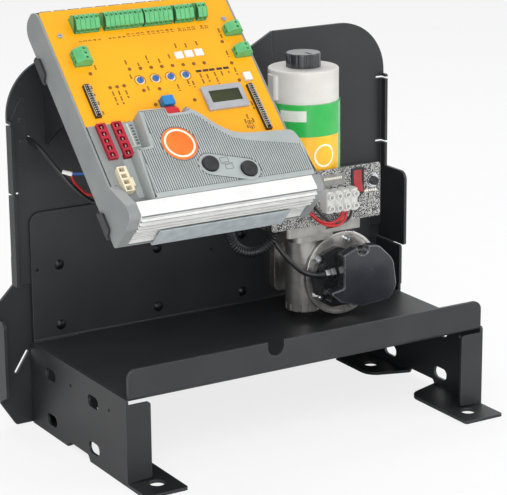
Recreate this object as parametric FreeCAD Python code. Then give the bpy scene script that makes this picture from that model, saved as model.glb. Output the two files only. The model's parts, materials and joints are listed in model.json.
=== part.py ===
import FreeCAD, Part
import math
import os

# Sliding gate motor on its steel stand: a bent sheet frame with a battery tray, a leaning
# control unit, and an upright DC gearmotor whose pinion sits behind the back plate.
# Millimetres, +Z up, +X to the right, -Y to the front.
# Origin: centre of the four anchor holes, on the ground.

V = FreeCAD.Vector

# ---- sheet frame ----
SHEET = 3.0                 # steel sheet of the whole stand
BEND_R = 2.0                # inside radius of every bend
TRAY_W = 400.0              # battery tray, outside width
TRAY_DEPTH = 202.0          # front lip to the back of the upstand
TRAY_FRONT_Y = -76.0
TRAY_TOP_Z = 85.0
LIP_H = 28.0
LIP_CORNER_R = 9.0
LIP_NOTCH_W = 18.0
LIP_NOTCH_DEPTH = 14.5
LIP_NOTCH_X = -41.5
UPSTAND_H = 131.0
UPSTAND_CORNER_R = 12.0
RELIEF_SLIT = 45.0          # free end of the upstand bend
RELIEF_R = 3.0

ANCHOR_DX = 356.0           # anchor hole spacing, left to right
ANCHOR_DY = 174.0           # front to back
ANCHOR_R = 7.5
FOOT_W = 45.0
FRONT_FOOT_L = 111.0
REAR_FOOT_L = 80.0
FOOT_OVERHANG = 35.0        # front foot ahead of the tray
FOOT_CORNER_R = 18.0
LEG_FLANGE_W = 26.0
LEG_TOP_GAP = 3.0           # free strip between the leg's front flange and the tray
ARCH_H = 6.0
SLOT_L = 22.0
SLOT_H = 12.0
LEG_SLOT_FRONT = 67.0       # slot centres behind the tray's front
LEG_SLOT_REAR = 158.0
LEG_SLOT_LOW = 16.0
LEG_SLOT_HIGH = 63.0
LEG_PIN_R = 1.8

BACK_W = 437.0              # tall back plate
BACK_TOP_Z = 368.0
BACK_EAR_R = 55.0
BACK_LOW_Z = 145.0
BACK_TAIL_Z = 62.0
BACK_TAIL_GAP = 2.0
BACK_DIP_DEPTH = 34.0       # dip of the top edge between the ears
BACK_DIP_W = 160.0
BACK_DIP_RUN = 62.0
BACK_SLIT_W = 1.6
BACK_SLIT_H = 24.0
SIDE_FLANGE = 11.0          # forward flange of the back plate, over the sheet's front face
FLANGE_TOP_Z = 313.0
WING_DEPTH = 45.0
WING_TOP_Z = 211.0
WING_LOW_Z = 131.0
WING_R = 9.0
KEY_SLOT_H = 2.2
KEY_SLOT_L = 7.0
KEY_SLOT_Z = (236.0, 305.0)

REAR_OVERHANG = 17.5        # wide lower plate beyond the tall one, each side
REAR_FOOT_OVERHANG = 1.5
REAR_LOW_Z = 25.0
REAR_WIDE_Z = 131.0
REAR_TOP_Z = 176.0
REAR_CHAMFER = 14.0
REAR_FLANGE = 14.0
REAR_FLANGE_LOW_Z = 27.0
REAR_FLANGE_TOP_Z = 113.0
TAB_DEPTH = 45.0            # lanced tab that stiffens the right side
TAB_LOW_Z = 88.0
TAB_TOP_Z = 130.5
LATCH_SLOT_L = 26.0
LATCH_SLOT_H = 3.4
LATCH_SLOT_ANGLE = 57.0
LATCH_SLOT_Z = 65.0
REAR_TAB = 20.0             # small rearward ear low on each side

FRAME_BOLT_R = 3.0
FRAME_BOLT_HEAD_R = 5.5
FRAME_BOLT_HEAD_H = 3.5
FRAME_BOLT_X = (-170.0, -60.0, 40.0, 175.0)
FRAME_BOLT_Z = (98.0, 160.0)

# ---- drive ----
MODULE = 1.5                # worm wheel
WHEEL_TEETH = 34
WHEEL_W = 10.0
WORM_PITCH_R = 7.0
WORM_LEN = 26.0
MESH_GAP = 0.45             # backlash between worm and wheel
OUT_X = 104.5               # output shaft axis
OUT_Z = 130.5
MOTOR_Y = 54.0
SHAFT_R = 9.0
SHAFT_FRONT = 20.0          # shaft ahead of the wheel's middle
SHAFT_REAR = 121.0
RUN = 0.3                   # running clearance round every turning piece
SEAT = 0.05                 # clearance of a piece seated in its bore
PINION_MODULE = 4.0
PINION_TEETH = 18
PINION_W = 28.0
PINION_GAP = 10.0           # back plate to pinion
NUT_R = 14.0
NUT_H = 10.0
BEARING_W = 8.0
BEARING_OUT_R = 17.5
ROTOR_BEARING_R = 11.0
ROTOR_SHAFT_R = 4.0

DISC_R = 43.4
DISC_T = 5.0
DISC_RIM = 3.0
GEARBOX_FRONT = 22.0        # disc's front face ahead of the motor axis
GEARBOX_R = 40.0
GEARBOX_REAR = 22.0
GEARBOX_WALL = 5.0
NECK_R = 26.0
REAR_PAD_W = 62.0
REAR_PAD_H = 71.0
REAR_PAD_T = 10.0
REAR_PAD_BOLT_DX = 46.0
REAR_PAD_BOLT_DZ = 55.0
GEARBOX_BOLT_R = 4.0
BOSS_R = 18.8
BOSS_LOW_Z = 93.5
BOSS_RIB_N = 12
MOTOR_FLANGE_W = 88.0
MOTOR_FLANGE_D = 82.0
MOTOR_FLANGE_T = 10.0
MOTOR_FLANGE_Z = 191.0      # top of the flange
FLANGE_SLOT_W = 9.0
FLANGE_SLOT_H = 3.0
MOTOR_R = 37.0
MOTOR_WALL = 3.0
MOTOR_BODY_H = 120.5
CAP_R = 35.4
CAP_H = 32.5
CAP_LUG = 3.0
CAP_LUG_W = 16.0
KNOB_R = 17.4
KNOB_H = 14.0
KNOB_FLUTES = 14
MAGNET_T = 6.0
ROTOR_R = 25.0
ROTOR_H = 70.0

# ---- sensor cover on the gearbox disc ----
SENSOR_BASE_T = 17.0
SENSOR_LID_T = 11.0
SENSOR_X = OUT_X - 2.0      # the cover sits slightly left of the shaft
DISC_BOLT_R = 3.0
DISC_BOLT_RING = 36.0

# ---- switch panel ----
PANEL_W = 128.0
PANEL_H = 55.0
PANEL_T = 2.0
PANEL_GAP = 2.0             # panel to motor case
ROCKER_W = 14.5
ROCKER_H = 27.0
ROCKER_X = 109.3
ROCKER_Z = 230.3
ROCKER_BEZEL_T = 2.0
ROCKER_RIM = 2.0
ROCKER_TILT = 7.0
ROCKER_GAP = 0.5
BREAKER_X = 127.0
BREAKER_Z = 229.0
BREAKER_R = 4.2
BREAKER_RING_R = 6.2
BREAKER_TRAVEL = 3.0
CHOC_POLES = 4
CHOC_PITCH = 9.6
CHOC_H = 22.0
CHOC_T = 17.0
CHOC_X = 83.3
CHOC_Z = 216.0
CHOC_WIRE_Y = 8.0           # wire holes ahead of the panel
WIRE_RUN = 39.0             # sideways from the strip to the hole in the panel

# ---- control unit: s to the right, t down the slope, n out of the face ----
CU_LEAN = 45.0              # lean back from upright
CU_X = -199.0
CU_Y = 90.0
CU_Z = 417.9
CU_W = 204.0
CU_L = 243.0
CU_DEPTH = 32.5
CU_WALL = 2.0
CU_END_WALL = 9.5           # thick end caps beside the heatsink
CU_TOP_R = 14.0
COVER_H = 16.5              # raised lower cover over the faceplate
COVER_BEVEL = 3.0
PLATE_T = 2.0
PLATE_MARGIN = 0.3          # free gap between faceplate and housing wall
PLATE_SHORT_T = 131.0       # faceplate's end beside the connector bay
PLATE_LONG_T = 166.0
BAY_S = 50.0
SINK_TOP_T = 224.7          # heatsink's upper edge
SINK_NOSE_T = 239.5
LIP_INSET = 36.0            # zinc strip set in from the ends
RIDGE_W = 9.0               # grip ridges over the rounded top edge
RIDGE_H = 1.6
RIDGE_PITCH = 14.5
RIDGE_N = 13
POCKET_DEPTH = 2.2          # shallow recesses of the connector bay
SMALL_POCKET = (42.5, 142.5, 7.5, 31.0)
LONG_POCKET = (34.5, 187.0, 20.0, 44.0)
PCB_T = 1.6
PCB_N = -14.0
CARRIER_T = 3.0
CLIP_L = 31.0
CLIP_T = (28.0, 201.0)
CLIP_REACH = 7.0
ARM_S = (20.0, 184.0)
ARM_TOP_T = 42.0            # where the arms meet the carrier, along the slope
ARM_LOW_T = 92.0
ARM_LOW_Z = 282.0
ARM_FOOT_W = 16.0
HOLE_GAP = 0.5              # faceplate opening round each item

POLE = 5.08                 # pluggable terminal pitch
TERMINAL_ROW_T = 20.0
TERMINAL_D = 17.0           # block depth along the slope
TERMINAL_H = 11.0
TERMINAL_POLES = (5, 8, 6, 4, 2)
TERMINAL_S = (28.0, 59.0, 101.0, 134.5, 159.0)
LEFT_POLES = 3
LEFT_TERMINAL = (15.0, 50.0)
RIGHT_POLES = 2
RIGHT_TERMINAL_S = CU_W - 21.0
RIGHT_TERMINAL_T = (39.5, 65.5)
TRIMMER_R = 3.3
TRIMMER_H = 1.8
TRIMMER_T = 88.3
TRIMMER_S = (73.7, 90.0, 106.2, 122.3)
TRIMMER_RANGE = 270.0
BUTTON_R = 8.2
BUTTON_H = 3.0
BUTTON_TRAVEL = 2.0
BUTTON_AT = ((97.0, 197.5), (133.5, 208.5))
KEY_TRAVEL = 1.5
BLUE_KEY = (89.5, 117.5, 12.0, 10.0)
BLUE_KEY_H = 8.0
PLUG = (86.5, 130.0, 17.0, 11.0)
PLUG_H = 9.0
RESET_KEY = (CU_W - 18.5, 99.0, 8.0, 9.0)
RESET_KEY_H = 3.0
BEZEL = (152.0, 118.5, 44.0, 27.0)
BEZEL_H = 3.5
SCREEN = (152.5, 118.0, 33.0, 13.5)
BADGE_AT = (75.5, 171.5)
BADGE_R = 17.5
BADGE_H = 0.8
RED_POLES = 5
RED_PITCH = 7.6
RED_W = 9.5
RED_S = (14.5, 30.5)
RED_T = 150.0
RED_H = 3.5
CREAM_POLES = 4
CREAM_PITCH = 6.6
CREAM_AT = (15.5, 193.5)
CREAM_W = 9.5
SCREW_R = 2.6
SCREW_H = 1.2
SCREW_AT = ((12.2, 29.5), (CU_W - 15.3, 30.0))
LED_R = 1.3
LED_H = 0.7
LED_AT = tuple((67.9 + 11.33 * i, 74.6 + 0.4 * i) for i in range(8)) + (
    (73.1, 99.7), (89.6, 100.1), (40.7, 92.3), (48.0, 92.2), (55.4, 92.0))
WINDOW_N = 3
WINDOW = (124.0, 66.0, 8.5, 7.5)
WINDOW_PITCH = 11.0
STRIPS = ((17.0, 105.0, 6.0, 36.0), (CU_W - 20.5, 134.0, 6.0, 52.0))
STRIP_H = 3.0

# ---- cables ----
CONDUIT_D = 11.0
CONDUIT_LOOP_R = 27.5       # hanging loop beside the motor flange
CONDUIT_LOOP_Z = 199.5
CONDUIT_END_Z = 228.0
CONDUIT_TAB_Z = 214.0
ENCODER_D = 5.0
WIRE_D = 2.6
LEAD_D = 2.6                # short leads behind the control unit
FLEX_D = 4.6
CRIMP_D = 4.4
CRIMP_L = 10.0
FLEX_HOLE = (-197.0, 290.0)
LEAD_ENTRY = ((-160.0, 36.0), (-148.0, 40.0), (-136.0, 30.0))
CABLE_Y = 22.0              # plane of the conduit's loop
ENCODER_ENTRY = (-6.0, 33.0)
ENTRY_DEPTH = 9.0           # how far a cable runs on inside the housing

# ---- worked out from the sizes above ----
TRAY_BACK_Y = TRAY_FRONT_Y + TRAY_DEPTH
BACK_Y = TRAY_BACK_Y
REAR_Y = BACK_Y + SHEET
REAR_FACE_Y = REAR_Y + SHEET
TRAY_X = TRAY_W / 2
LEG_X = TRAY_X + SHEET
BACK_X = BACK_W / 2
REAR_X = BACK_X + REAR_OVERHANG
WHEEL_R = MODULE * WHEEL_TEETH / 2
MOTOR_X = OUT_X - WHEEL_R - WORM_PITCH_R
DISC_Y = MOTOR_Y - GEARBOX_FRONT
PANEL_Y = MOTOR_Y - MOTOR_R - PANEL_GAP - PANEL_T
PANEL_RIGHT = BREAKER_X + 10.5
BODY_TOP_Z = MOTOR_FLANGE_Z + MOTOR_BODY_H
CAP_TOP_Z = BODY_TOP_Z + CAP_H
PINION_Y = REAR_FACE_Y + PINION_GAP
CONDUIT_X = MOTOR_X - MOTOR_FLANGE_W / 2 - CONDUIT_D / 2 - 1.5
CONDUIT_ENTRY = (CONDUIT_X - 2 * CONDUIT_LOOP_R, CABLE_Y)


# ---------------------------------------------------------------- helpers
def outline(points):
    """Closed wire in the XY plane from (u, v) or (u, v, corner radius) points."""
    count = len(points)
    corners = []
    for i, point in enumerate(points):
        here = V(point[0], point[1], 0)
        before = V(points[i - 1][0], points[i - 1][1], 0)
        after = V(points[(i + 1) % count][0], points[(i + 1) % count][1], 0)
        radius = point[2] if len(point) > 2 else 0.0
        if radius <= 0:
            corners.append((here, None, here))
            continue
        back = (before - here).normalize()
        ahead = (after - here).normalize()
        half = math.acos(max(-1.0, min(1.0, back.dot(ahead)))) / 2
        reach = radius / math.tan(half)
        start = here + back * reach
        end = here + ahead * reach
        centre = here + (back + ahead).normalize() * (radius / math.sin(half))
        middle = centre + (here - centre).normalize() * radius
        corners.append((start, middle, end))
    edges = []
    for i in range(count):
        start, middle, end = corners[i]
        if middle is not None:
            edges.append(Part.Arc(start, middle, end).toShape())
        following = corners[(i + 1) % count][0]
        if (following - end).Length > 1e-6:
            edges.append(Part.LineSegment(end, following).toShape())
    return Part.Wire(edges)


def slab(points, axis, at, thick):
    """Plate of the given outline, from `at` to `at + thick` along the axis.

    The outline's (u, v) are (y, z) for axis x, (x, z) for axis y and (x, y) for axis z.
    """
    solid = Part.Face(outline(points)).extrude(V(0, 0, thick))
    if axis == "x":
        solid.Placement = FreeCAD.Placement(V(at, 0, 0), FreeCAD.Rotation(V(1, 1, 1), 120))
    elif axis == "y":
        solid.Placement = FreeCAD.Placement(V(0, at + thick, 0), FreeCAD.Rotation(V(1, 0, 0), 90))
    else:
        solid.Placement = FreeCAD.Placement(V(0, 0, at), FreeCAD.Rotation())
    return solid


def block(low, high):
    """Box between two corners."""
    size = [b - a for a, b in zip(low, high)]
    return Part.makeBox(size[0], size[1], size[2], V(*low))


def rod(centre, radius, length, axis):
    """Cylinder from `centre` along the axis."""
    direction = {"x": V(1, 0, 0), "y": V(0, 1, 0), "z": V(0, 0, 1)}[axis]
    return Part.makeCylinder(radius, length, V(*centre), direction)


def rectangle(u0, v0, u1, v1, radius=0.0):
    """Corner points of a rectangle with one corner radius."""
    return [(u0, v0, radius), (u1, v0, radius), (u1, v1, radius), (u0, v1, radius)]


def slot(length, height, turn=0.0):
    """Points of a round-ended slot about the origin, turned by `turn` degrees."""
    c, s = math.cos(math.radians(turn)), math.sin(math.radians(turn))
    half, rise = length / 2, height / 2
    raw = [(-half, -rise), (half, -rise), (half, rise), (-half, rise)]
    return [(u * c - v * s, u * s + v * c, rise * 0.999) for u, v in raw]


def shifted(points, du, dv):
    return [(p[0] + du, p[1] + dv) + tuple(p[2:]) for p in points]


def corner_cut(shape, axis, at, thick, corner, towards, radius):
    """Round one outer corner of a plate; `towards` points from the corner into the plate."""
    u, v = corner
    du, dv = towards
    square = slab(rectangle(min(u, u + du * radius), min(v, v + dv * radius),
                            max(u, u + du * radius), max(v, v + dv * radius)), axis, at, thick)
    centre = {"x": (at, u + du * radius, v + dv * radius),
              "y": (u + du * radius, at, v + dv * radius),
              "z": (u + du * radius, v + dv * radius, at)}[axis]
    return shape.cut(square.cut(rod(centre, radius, thick, axis)))


def joined(shapes):
    """One solid from touching shapes."""
    solid = shapes[0].multiFuse(shapes[1:]) if len(shapes) > 1 else shapes[0]
    return solid.removeSplitter()


def mirrored(shape):
    """The same shape on the other side of the frame's middle plane."""
    return shape.mirror(V(0, 0, 0), V(1, 0, 0))


def leant(shape):
    """Move a shape from the control unit's own frame to its place on the stand."""
    turned = shape.copy()
    turned.rotate(V(0, 0, 0), V(1, 0, 0), 90.0 - CU_LEAN)
    turned.translate(V(CU_X, CU_Y, CU_Z))
    return turned


def face_block(item, height, low=0.0, radius=0.0):
    """Block on the control unit's face from (s, t, width, length)."""
    s, t, width, length = item
    return slab(rectangle(s - width / 2, -t - length / 2, s + width / 2, -t + length / 2, radius),
                "z", low, height)


def ring(centre, outer, inner, length, axis):
    return rod(centre, outer, length, axis).cut(rod(centre, inner, length, axis))


def cable(points, diameter, name):
    """Tube along straight runs joined by tangent arcs, each as large as its runs allow."""
    nodes = [V(*p) for p in points]
    edges = []
    place = nodes[0]
    length = 0.0
    radii = []
    for i in range(1, len(nodes) - 1):
        back = nodes[i - 1] - nodes[i]
        ahead = nodes[i + 1] - nodes[i]
        shorter = min(back.Length, ahead.Length)
        back.normalize()
        ahead.normalize()
        turn = math.pi - math.acos(max(-1.0, min(1.0, back.dot(ahead))))
        reach = 0.45 * shorter
        radius = reach / math.tan(turn / 2)
        radii.append(radius)
        start = nodes[i] + back * reach
        end = nodes[i] + ahead * reach
        centre = nodes[i] + (back + ahead).normalize() * (radius / math.cos(turn / 2))
        middle = centre + (nodes[i] - centre).normalize() * radius
        edges.append(Part.LineSegment(place, start).toShape())
        edges.append(Part.Arc(start, middle, end).toShape())
        length += (start - place).Length + radius * turn
        place = end
    edges.append(Part.LineSegment(place, nodes[-1]).toShape())
    length += (nodes[-1] - place).Length
    path = Part.Wire(edges)
    section = Part.Wire([Part.makeCircle(diameter / 2, nodes[0], nodes[1] - nodes[0])])
    tube = path.makePipeShell([section], True, True)
    if tube.Volume < 0:
        tube.reverse()
    expected = math.pi * diameter ** 2 / 4 * length
    print(name, "length", round(length, 1), "radii", [round(r, 1) for r in radii],
          "volume ratio", round(tube.Volume / expected, 4))
    return tube


def bearing(centre, outer, inner, width, axis):
    """Ball bearing as one shielded ring with a groove on each side."""
    body = ring(centre, outer, inner, width, axis)
    mean = (outer + inner) / 2
    groove_w = (outer - inner) * 0.28
    depth = width * 0.12
    lift = {"x": V(1, 0, 0), "y": V(0, 1, 0), "z": V(0, 0, 1)}[axis]
    for shift in (0.0, width - depth):
        start = V(*centre) + lift * shift
        groove = ring((start.x, start.y, start.z), mean + groove_w / 2, mean - groove_w / 2,
                      depth, axis)
        body = body.cut(groove)
    return body


def hex_head(centre, radius, height, axis):
    """Hexagon from its across-corners radius."""
    points = [(radius * math.cos(math.radians(60 * i)), radius * math.sin(math.radians(60 * i)))
              for i in range(6)]
    u, v = {"x": (centre[1], centre[2]), "y": (centre[0], centre[2]),
            "z": (centre[0], centre[1])}[axis]
    at = centre["xyz".index(axis)]
    return slab(shifted(points, u, v), axis, at, height)


# ---------------------------------------------------------------- sheet frame
def base_tray():
    """Battery tray: front lip, floor and upstand from one bent sheet."""
    front, back = TRAY_FRONT_Y, TRAY_BACK_Y
    floor_low = TRAY_TOP_Z - SHEET
    lip_top = TRAY_TOP_Z + LIP_H
    top = TRAY_TOP_Z + UPSTAND_H
    outer = BEND_R + SHEET
    section = [(front, lip_top), (front, floor_low, outer), (back, floor_low, outer), (back, top),
               (back - SHEET, top), (back - SHEET, TRAY_TOP_Z, BEND_R),
               (front + SHEET, TRAY_TOP_Z, BEND_R), (front + SHEET, lip_top)]
    tray = slab(section, "x", -TRAY_X, TRAY_W)
    for side in (-1, 1):
        tray = corner_cut(tray, "y", front - 1, SHEET + 2, (side * TRAY_X, lip_top), (-side, -1),
                          LIP_CORNER_R)
        tray = corner_cut(tray, "y", back - SHEET - 1, SHEET + 2, (side * TRAY_X, top),
                          (-side, -1), UPSTAND_CORNER_R)
        slit_end = side * (TRAY_X - RELIEF_SLIT)
        slit_y = back - SHEET - outer
        tray = tray.cut(block((min(side * (TRAY_X + 1), slit_end), slit_y, floor_low - 1),
                              (max(side * (TRAY_X + 1), slit_end), slit_y + SHEET, TRAY_TOP_Z + 1)))
        tray = tray.cut(rod((slit_end, slit_y + SHEET / 2, floor_low - 1), RELIEF_R,
                            SHEET + 2, "z"))
    half = LIP_NOTCH_W / 2
    notch = [(LIP_NOTCH_X - half, lip_top + 1), (LIP_NOTCH_X - half, lip_top - LIP_NOTCH_DEPTH,
             half * 0.999), (LIP_NOTCH_X + half, lip_top - LIP_NOTCH_DEPTH, half * 0.999),
             (LIP_NOTCH_X + half, lip_top + 1)]
    tray = tray.cut(slab(notch, "y", front - 1, SHEET + 2))
    for x, z in ((-TRAY_X + 6.0, 158.0), (3.0, 149.5)):
        tray = tray.cut(rod((x, back - SHEET - 1, z), 2.0, SHEET + 2, "y"))
    return gear_holes(frame_bolt_holes(tray), back - SHEET - 1, SHEET + 2)


def gear_holes(plate, y, thick):
    """Cut the shaft opening and the gearbox bolt holes through one plate."""
    plate = plate.cut(rod((OUT_X, y, OUT_Z), BEARING_OUT_R + 1, thick, "y"))
    for x, z in gearbox_bolt_places():
        plate = plate.cut(rod((x, y, z), GEARBOX_BOLT_R + 0.4, thick, "y"))
    return plate


def gearbox_bolt_places():
    return [(OUT_X + i * REAR_PAD_BOLT_DX / 2, OUT_Z + j * REAR_PAD_BOLT_DZ / 2)
            for i in (-1, 1) for j in (-1, 1)]


def frame_bolt_holes(plate):
    for x in FRAME_BOLT_X:
        for z in FRAME_BOLT_Z:
            plate = plate.cut(rod((x, TRAY_BACK_Y - SHEET - 1, z), FRAME_BOLT_R + SEAT,
                                  3 * SHEET + 2, "y"))
    return plate


def left_leg():
    """Side plate with a front flange, two feet and round-ended slots."""
    x0 = -LEG_X
    front, back = TRAY_FRONT_Y, TRAY_BACK_Y
    arch0 = front + FRONT_FOOT_L - FOOT_OVERHANG
    arch1 = back - REAR_FOOT_L + 2
    side = [(front, 0), (arch0, 0), (arch0 + 4, ARCH_H, 3), (arch1 - 4, ARCH_H, 3), (arch1, 0),
            (back, 0), (back, TRAY_TOP_Z, 3), (front, TRAY_TOP_Z, 3)]
    plate = slab(side, "x", x0, SHEET)
    for y in (LEG_SLOT_FRONT, LEG_SLOT_REAR):
        for z in (LEG_SLOT_LOW, LEG_SLOT_HIGH):
            cut = shifted(slot(SLOT_L, SLOT_H), front + y, z)
            plate = plate.cut(slab(cut, "x", x0 - 1, SHEET + 2))
    for y in (34.0, 114.0):
        plate = plate.cut(rod((x0 - 1, front + y, 65.0), LEG_PIN_R, SHEET + 2, "x"))
    flange_top = TRAY_TOP_Z - SHEET - LEG_TOP_GAP
    flange = slab([(x0, SHEET), (x0 + LEG_FLANGE_W, SHEET + 2, 2),
                   (x0 + LEG_FLANGE_W, flange_top, 3), (x0, flange_top)], "y", front, SHEET)
    inner = x0 + FOOT_W
    foot_f = slab([(x0, front - FOOT_OVERHANG, 2), (inner, front - FOOT_OVERHANG, 3),
                   (inner, arch0 - 14, FOOT_CORNER_R), (x0 + SHEET, arch0), (x0, arch0)],
                  "z", 0, SHEET)
    foot_r = slab([(x0, arch1), (x0 + SHEET, arch1), (inner, arch1 + 14, FOOT_CORNER_R),
                   (inner, back, 2), (x0, back)], "z", 0, SHEET)
    leg = joined([plate, flange, foot_f, foot_r])
    for y in (-1, 1):
        leg = leg.cut(rod((-ANCHOR_DX / 2, y * ANCHOR_DY / 2, -1), ANCHOR_R, SHEET + 2, "z"))
    return leg


def rear_plate():
    """Wide lower plate with forward side flanges, latch slots and a lanced tab."""
    half, foot = REAR_X, BACK_X + REAR_FOOT_OVERHANG
    neck = BACK_X
    points = [(-foot, 0, 3), (foot, 0, 3), (foot, REAR_LOW_Z), (half, REAR_LOW_Z),
              (half, REAR_WIDE_Z, 2), (neck + REAR_CHAMFER - 1, REAR_WIDE_Z),
              (neck - 1, REAR_WIDE_Z + REAR_CHAMFER), (neck - 1, REAR_TOP_Z, 4),
              (-neck + 1, REAR_TOP_Z, 4), (-neck + 1, REAR_WIDE_Z + REAR_CHAMFER),
              (-neck - REAR_CHAMFER + 1, REAR_WIDE_Z), (-half, REAR_WIDE_Z, 2),
              (-half, REAR_LOW_Z)]
    plate = slab(points, "y", REAR_Y, SHEET)
    flange = slab([(REAR_Y - REAR_FLANGE, REAR_FLANGE_LOW_Z + 8, 4), (REAR_Y, REAR_FLANGE_LOW_Z),
                   (REAR_Y, REAR_FLANGE_TOP_Z), (REAR_Y - REAR_FLANGE, REAR_FLANGE_TOP_Z, 8)],
                  "x", -half, SHEET)
    ear = slab([(REAR_FACE_Y, 12), (REAR_FACE_Y + REAR_TAB, 12, 8),
                (REAR_FACE_Y + REAR_TAB, REAR_LOW_Z + 8, 3), (REAR_FACE_Y, REAR_LOW_Z + 8)],
               "x", -foot, SHEET)
    tab_x = BACK_X - 2 * SHEET - RUN
    tab = slab([(REAR_Y - TAB_DEPTH, TAB_LOW_Z), (REAR_Y, TAB_LOW_Z), (REAR_Y, TAB_TOP_Z),
                (REAR_Y - TAB_DEPTH, TAB_TOP_Z, 3)], "x", tab_x, SHEET)
    plate = joined([plate, flange, mirrored(flange), ear, mirrored(ear), tab])
    cut = slot(LATCH_SLOT_L, LATCH_SLOT_H, LATCH_SLOT_ANGLE)
    slot_x = -(BACK_X - LATCH_SLOT_L / 4)
    latch = slab(shifted(cut, slot_x, LATCH_SLOT_Z), "y", REAR_Y - 1, SHEET + 2)
    plate = plate.cut(latch).cut(mirrored(latch))
    return gear_holes(frame_bolt_holes(plate), REAR_Y - 1, SHEET + 2)


def back_plate():
    """Tall plate with round ears, a dipped top edge, side flanges and the right wing."""
    half = BACK_X
    tail = TRAY_X - BACK_TAIL_GAP
    dip = BACK_DIP_W / 2
    low = BACK_TOP_Z - BACK_DIP_DEPTH
    points = [(-tail, BACK_TAIL_Z), (tail, BACK_TAIL_Z), (tail, BACK_LOW_Z), (half, BACK_LOW_Z),
              (half, BACK_TOP_Z, BACK_EAR_R), (dip, BACK_TOP_Z, 3),
              (dip - BACK_DIP_RUN, low, 12), (-dip + BACK_DIP_RUN, low, 12), (-dip, BACK_TOP_Z, 3),
              (-half, BACK_TOP_Z, BACK_EAR_R), (-half, BACK_LOW_Z), (-tail, BACK_LOW_Z)]
    plate = slab(points, "y", BACK_Y, SHEET)
    front = BACK_Y - SIDE_FLANGE + SHEET
    left = slab([(front, BACK_LOW_Z), (BACK_Y, BACK_LOW_Z), (BACK_Y, FLANGE_TOP_Z - 3),
                 (front, FLANGE_TOP_Z - 3, 2)], "x", -half, SHEET)
    wing_y = BACK_Y - WING_DEPTH
    right = slab([(wing_y, WING_LOW_Z, 2), (BACK_Y, WING_LOW_Z), (BACK_Y, FLANGE_TOP_Z - 3),
                  (front, FLANGE_TOP_Z - 3, 2), (front, WING_TOP_Z), (wing_y, WING_TOP_Z, WING_R)],
                 "x", half - SHEET, SHEET)
    wing_root = slab(rectangle(half - SHEET, WING_LOW_Z, half, BACK_LOW_Z), "y", BACK_Y, SHEET)
    plate = joined([plate, left, right, wing_root])
    for z in KEY_SLOT_Z:
        key = block((half - SHEET - KEY_SLOT_L, front - 1, z),
                    (half + 1, BACK_Y + SHEET + 1, z + KEY_SLOT_H))
        plate = plate.cut(key).cut(mirrored(key))
    slit = block((dip, BACK_Y - 1, BACK_TOP_Z - BACK_SLIT_H),
                 (dip + BACK_SLIT_W, BACK_Y + SHEET + 1, BACK_TOP_Z + 1))
    plate = plate.cut(slit)
    for x, z in latch_rivets():
        plate = plate.cut(rod((x, BACK_Y - 1, z), 2.0, SHEET + 2, "y"))
    plate = plate.cut(rod((FLEX_HOLE[0], BACK_Y - 1, FLEX_HOLE[1]), FLEX_D / 2 + 0.5, SHEET + 2,
                          "y"))
    return gear_holes(frame_bolt_holes(plate), BACK_Y - 1, SHEET + 2)


def latch_rivets():
    return [(-BACK_X + 13.5, 309.5), (-BACK_X + 13.5, 287.5)]


def control_brackets():
    """Two arms that carry the control unit, and the riveted hinge strip on the left ear."""
    carrier = -CU_DEPTH - CARRIER_T
    lean = math.radians(CU_LEAN)

    def on_slope(t):
        y = CU_Y - t * math.sin(lean) - carrier * math.cos(lean)
        z = CU_Z - t * math.cos(lean) + carrier * math.sin(lean)
        return y, z

    top = on_slope(ARM_TOP_T)
    low = on_slope(ARM_LOW_T)
    arms = []
    for s in ARM_S:
        x = CU_X + s
        points = [(BACK_Y, ARM_LOW_Z), (BACK_Y, BACK_TOP_Z - 12.0, 6), (BACK_Y - 8.0, top[1], 4),
                  top, low, (BACK_Y - 26.0, ARM_LOW_Z + 18.0, 18)]
        arm = slab(points, "x", x, SHEET)
        foot = slab(rectangle(x, ARM_LOW_Z + 2.0, x + ARM_FOOT_W, ARM_LOW_Z + 48.0, 2), "y",
                    BACK_Y - SHEET, SHEET)
        arms.append(joined([arm, foot]))
    strip = slab([(-BACK_X + SHEET + 0.5, 266.0, 2), (-BACK_X + 19.0, 266.0, 2),
                  (-BACK_X + 19.0, 331.0, 2), (-BACK_X + 14.0, 331.0),
                  (-BACK_X + SHEET + 0.5, 312.0)], "y", BACK_Y - 1.5, 1.5)
    for x, z in latch_rivets():
        rivet = rod((x, BACK_Y - 3.0, z), 2.4, 1.5, "y")
        strip = strip.fuse(rivet).fuse(rod((x, BACK_Y - 2.0, z), 1.95, 4.0, "y"))
    return Part.Compound(arms + [strip.removeSplitter()])


def frame_bolts():
    """Round-headed bolts and nuts that clamp upstand, back plate and rear plate."""
    bolts = []
    for x in FRAME_BOLT_X:
        for z in FRAME_BOLT_Z:
            y = TRAY_BACK_Y - SHEET
            shank = rod((x, y, z), FRAME_BOLT_R, 3 * SHEET + 4.5, "y")
            dome = Part.makeSphere(FRAME_BOLT_HEAD_R * 1.25, V(x, y + 4.4, z))
            keep = rod((x, y - FRAME_BOLT_HEAD_H, z), FRAME_BOLT_HEAD_R, FRAME_BOLT_HEAD_H, "y")
            nut = hex_head((x, y + 3 * SHEET, z), FRAME_BOLT_HEAD_R, FRAME_BOLT_HEAD_H, "y")
            bolts.append(joined([dome.common(keep), shank, nut]))
    return Part.Compound(bolts)


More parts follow.
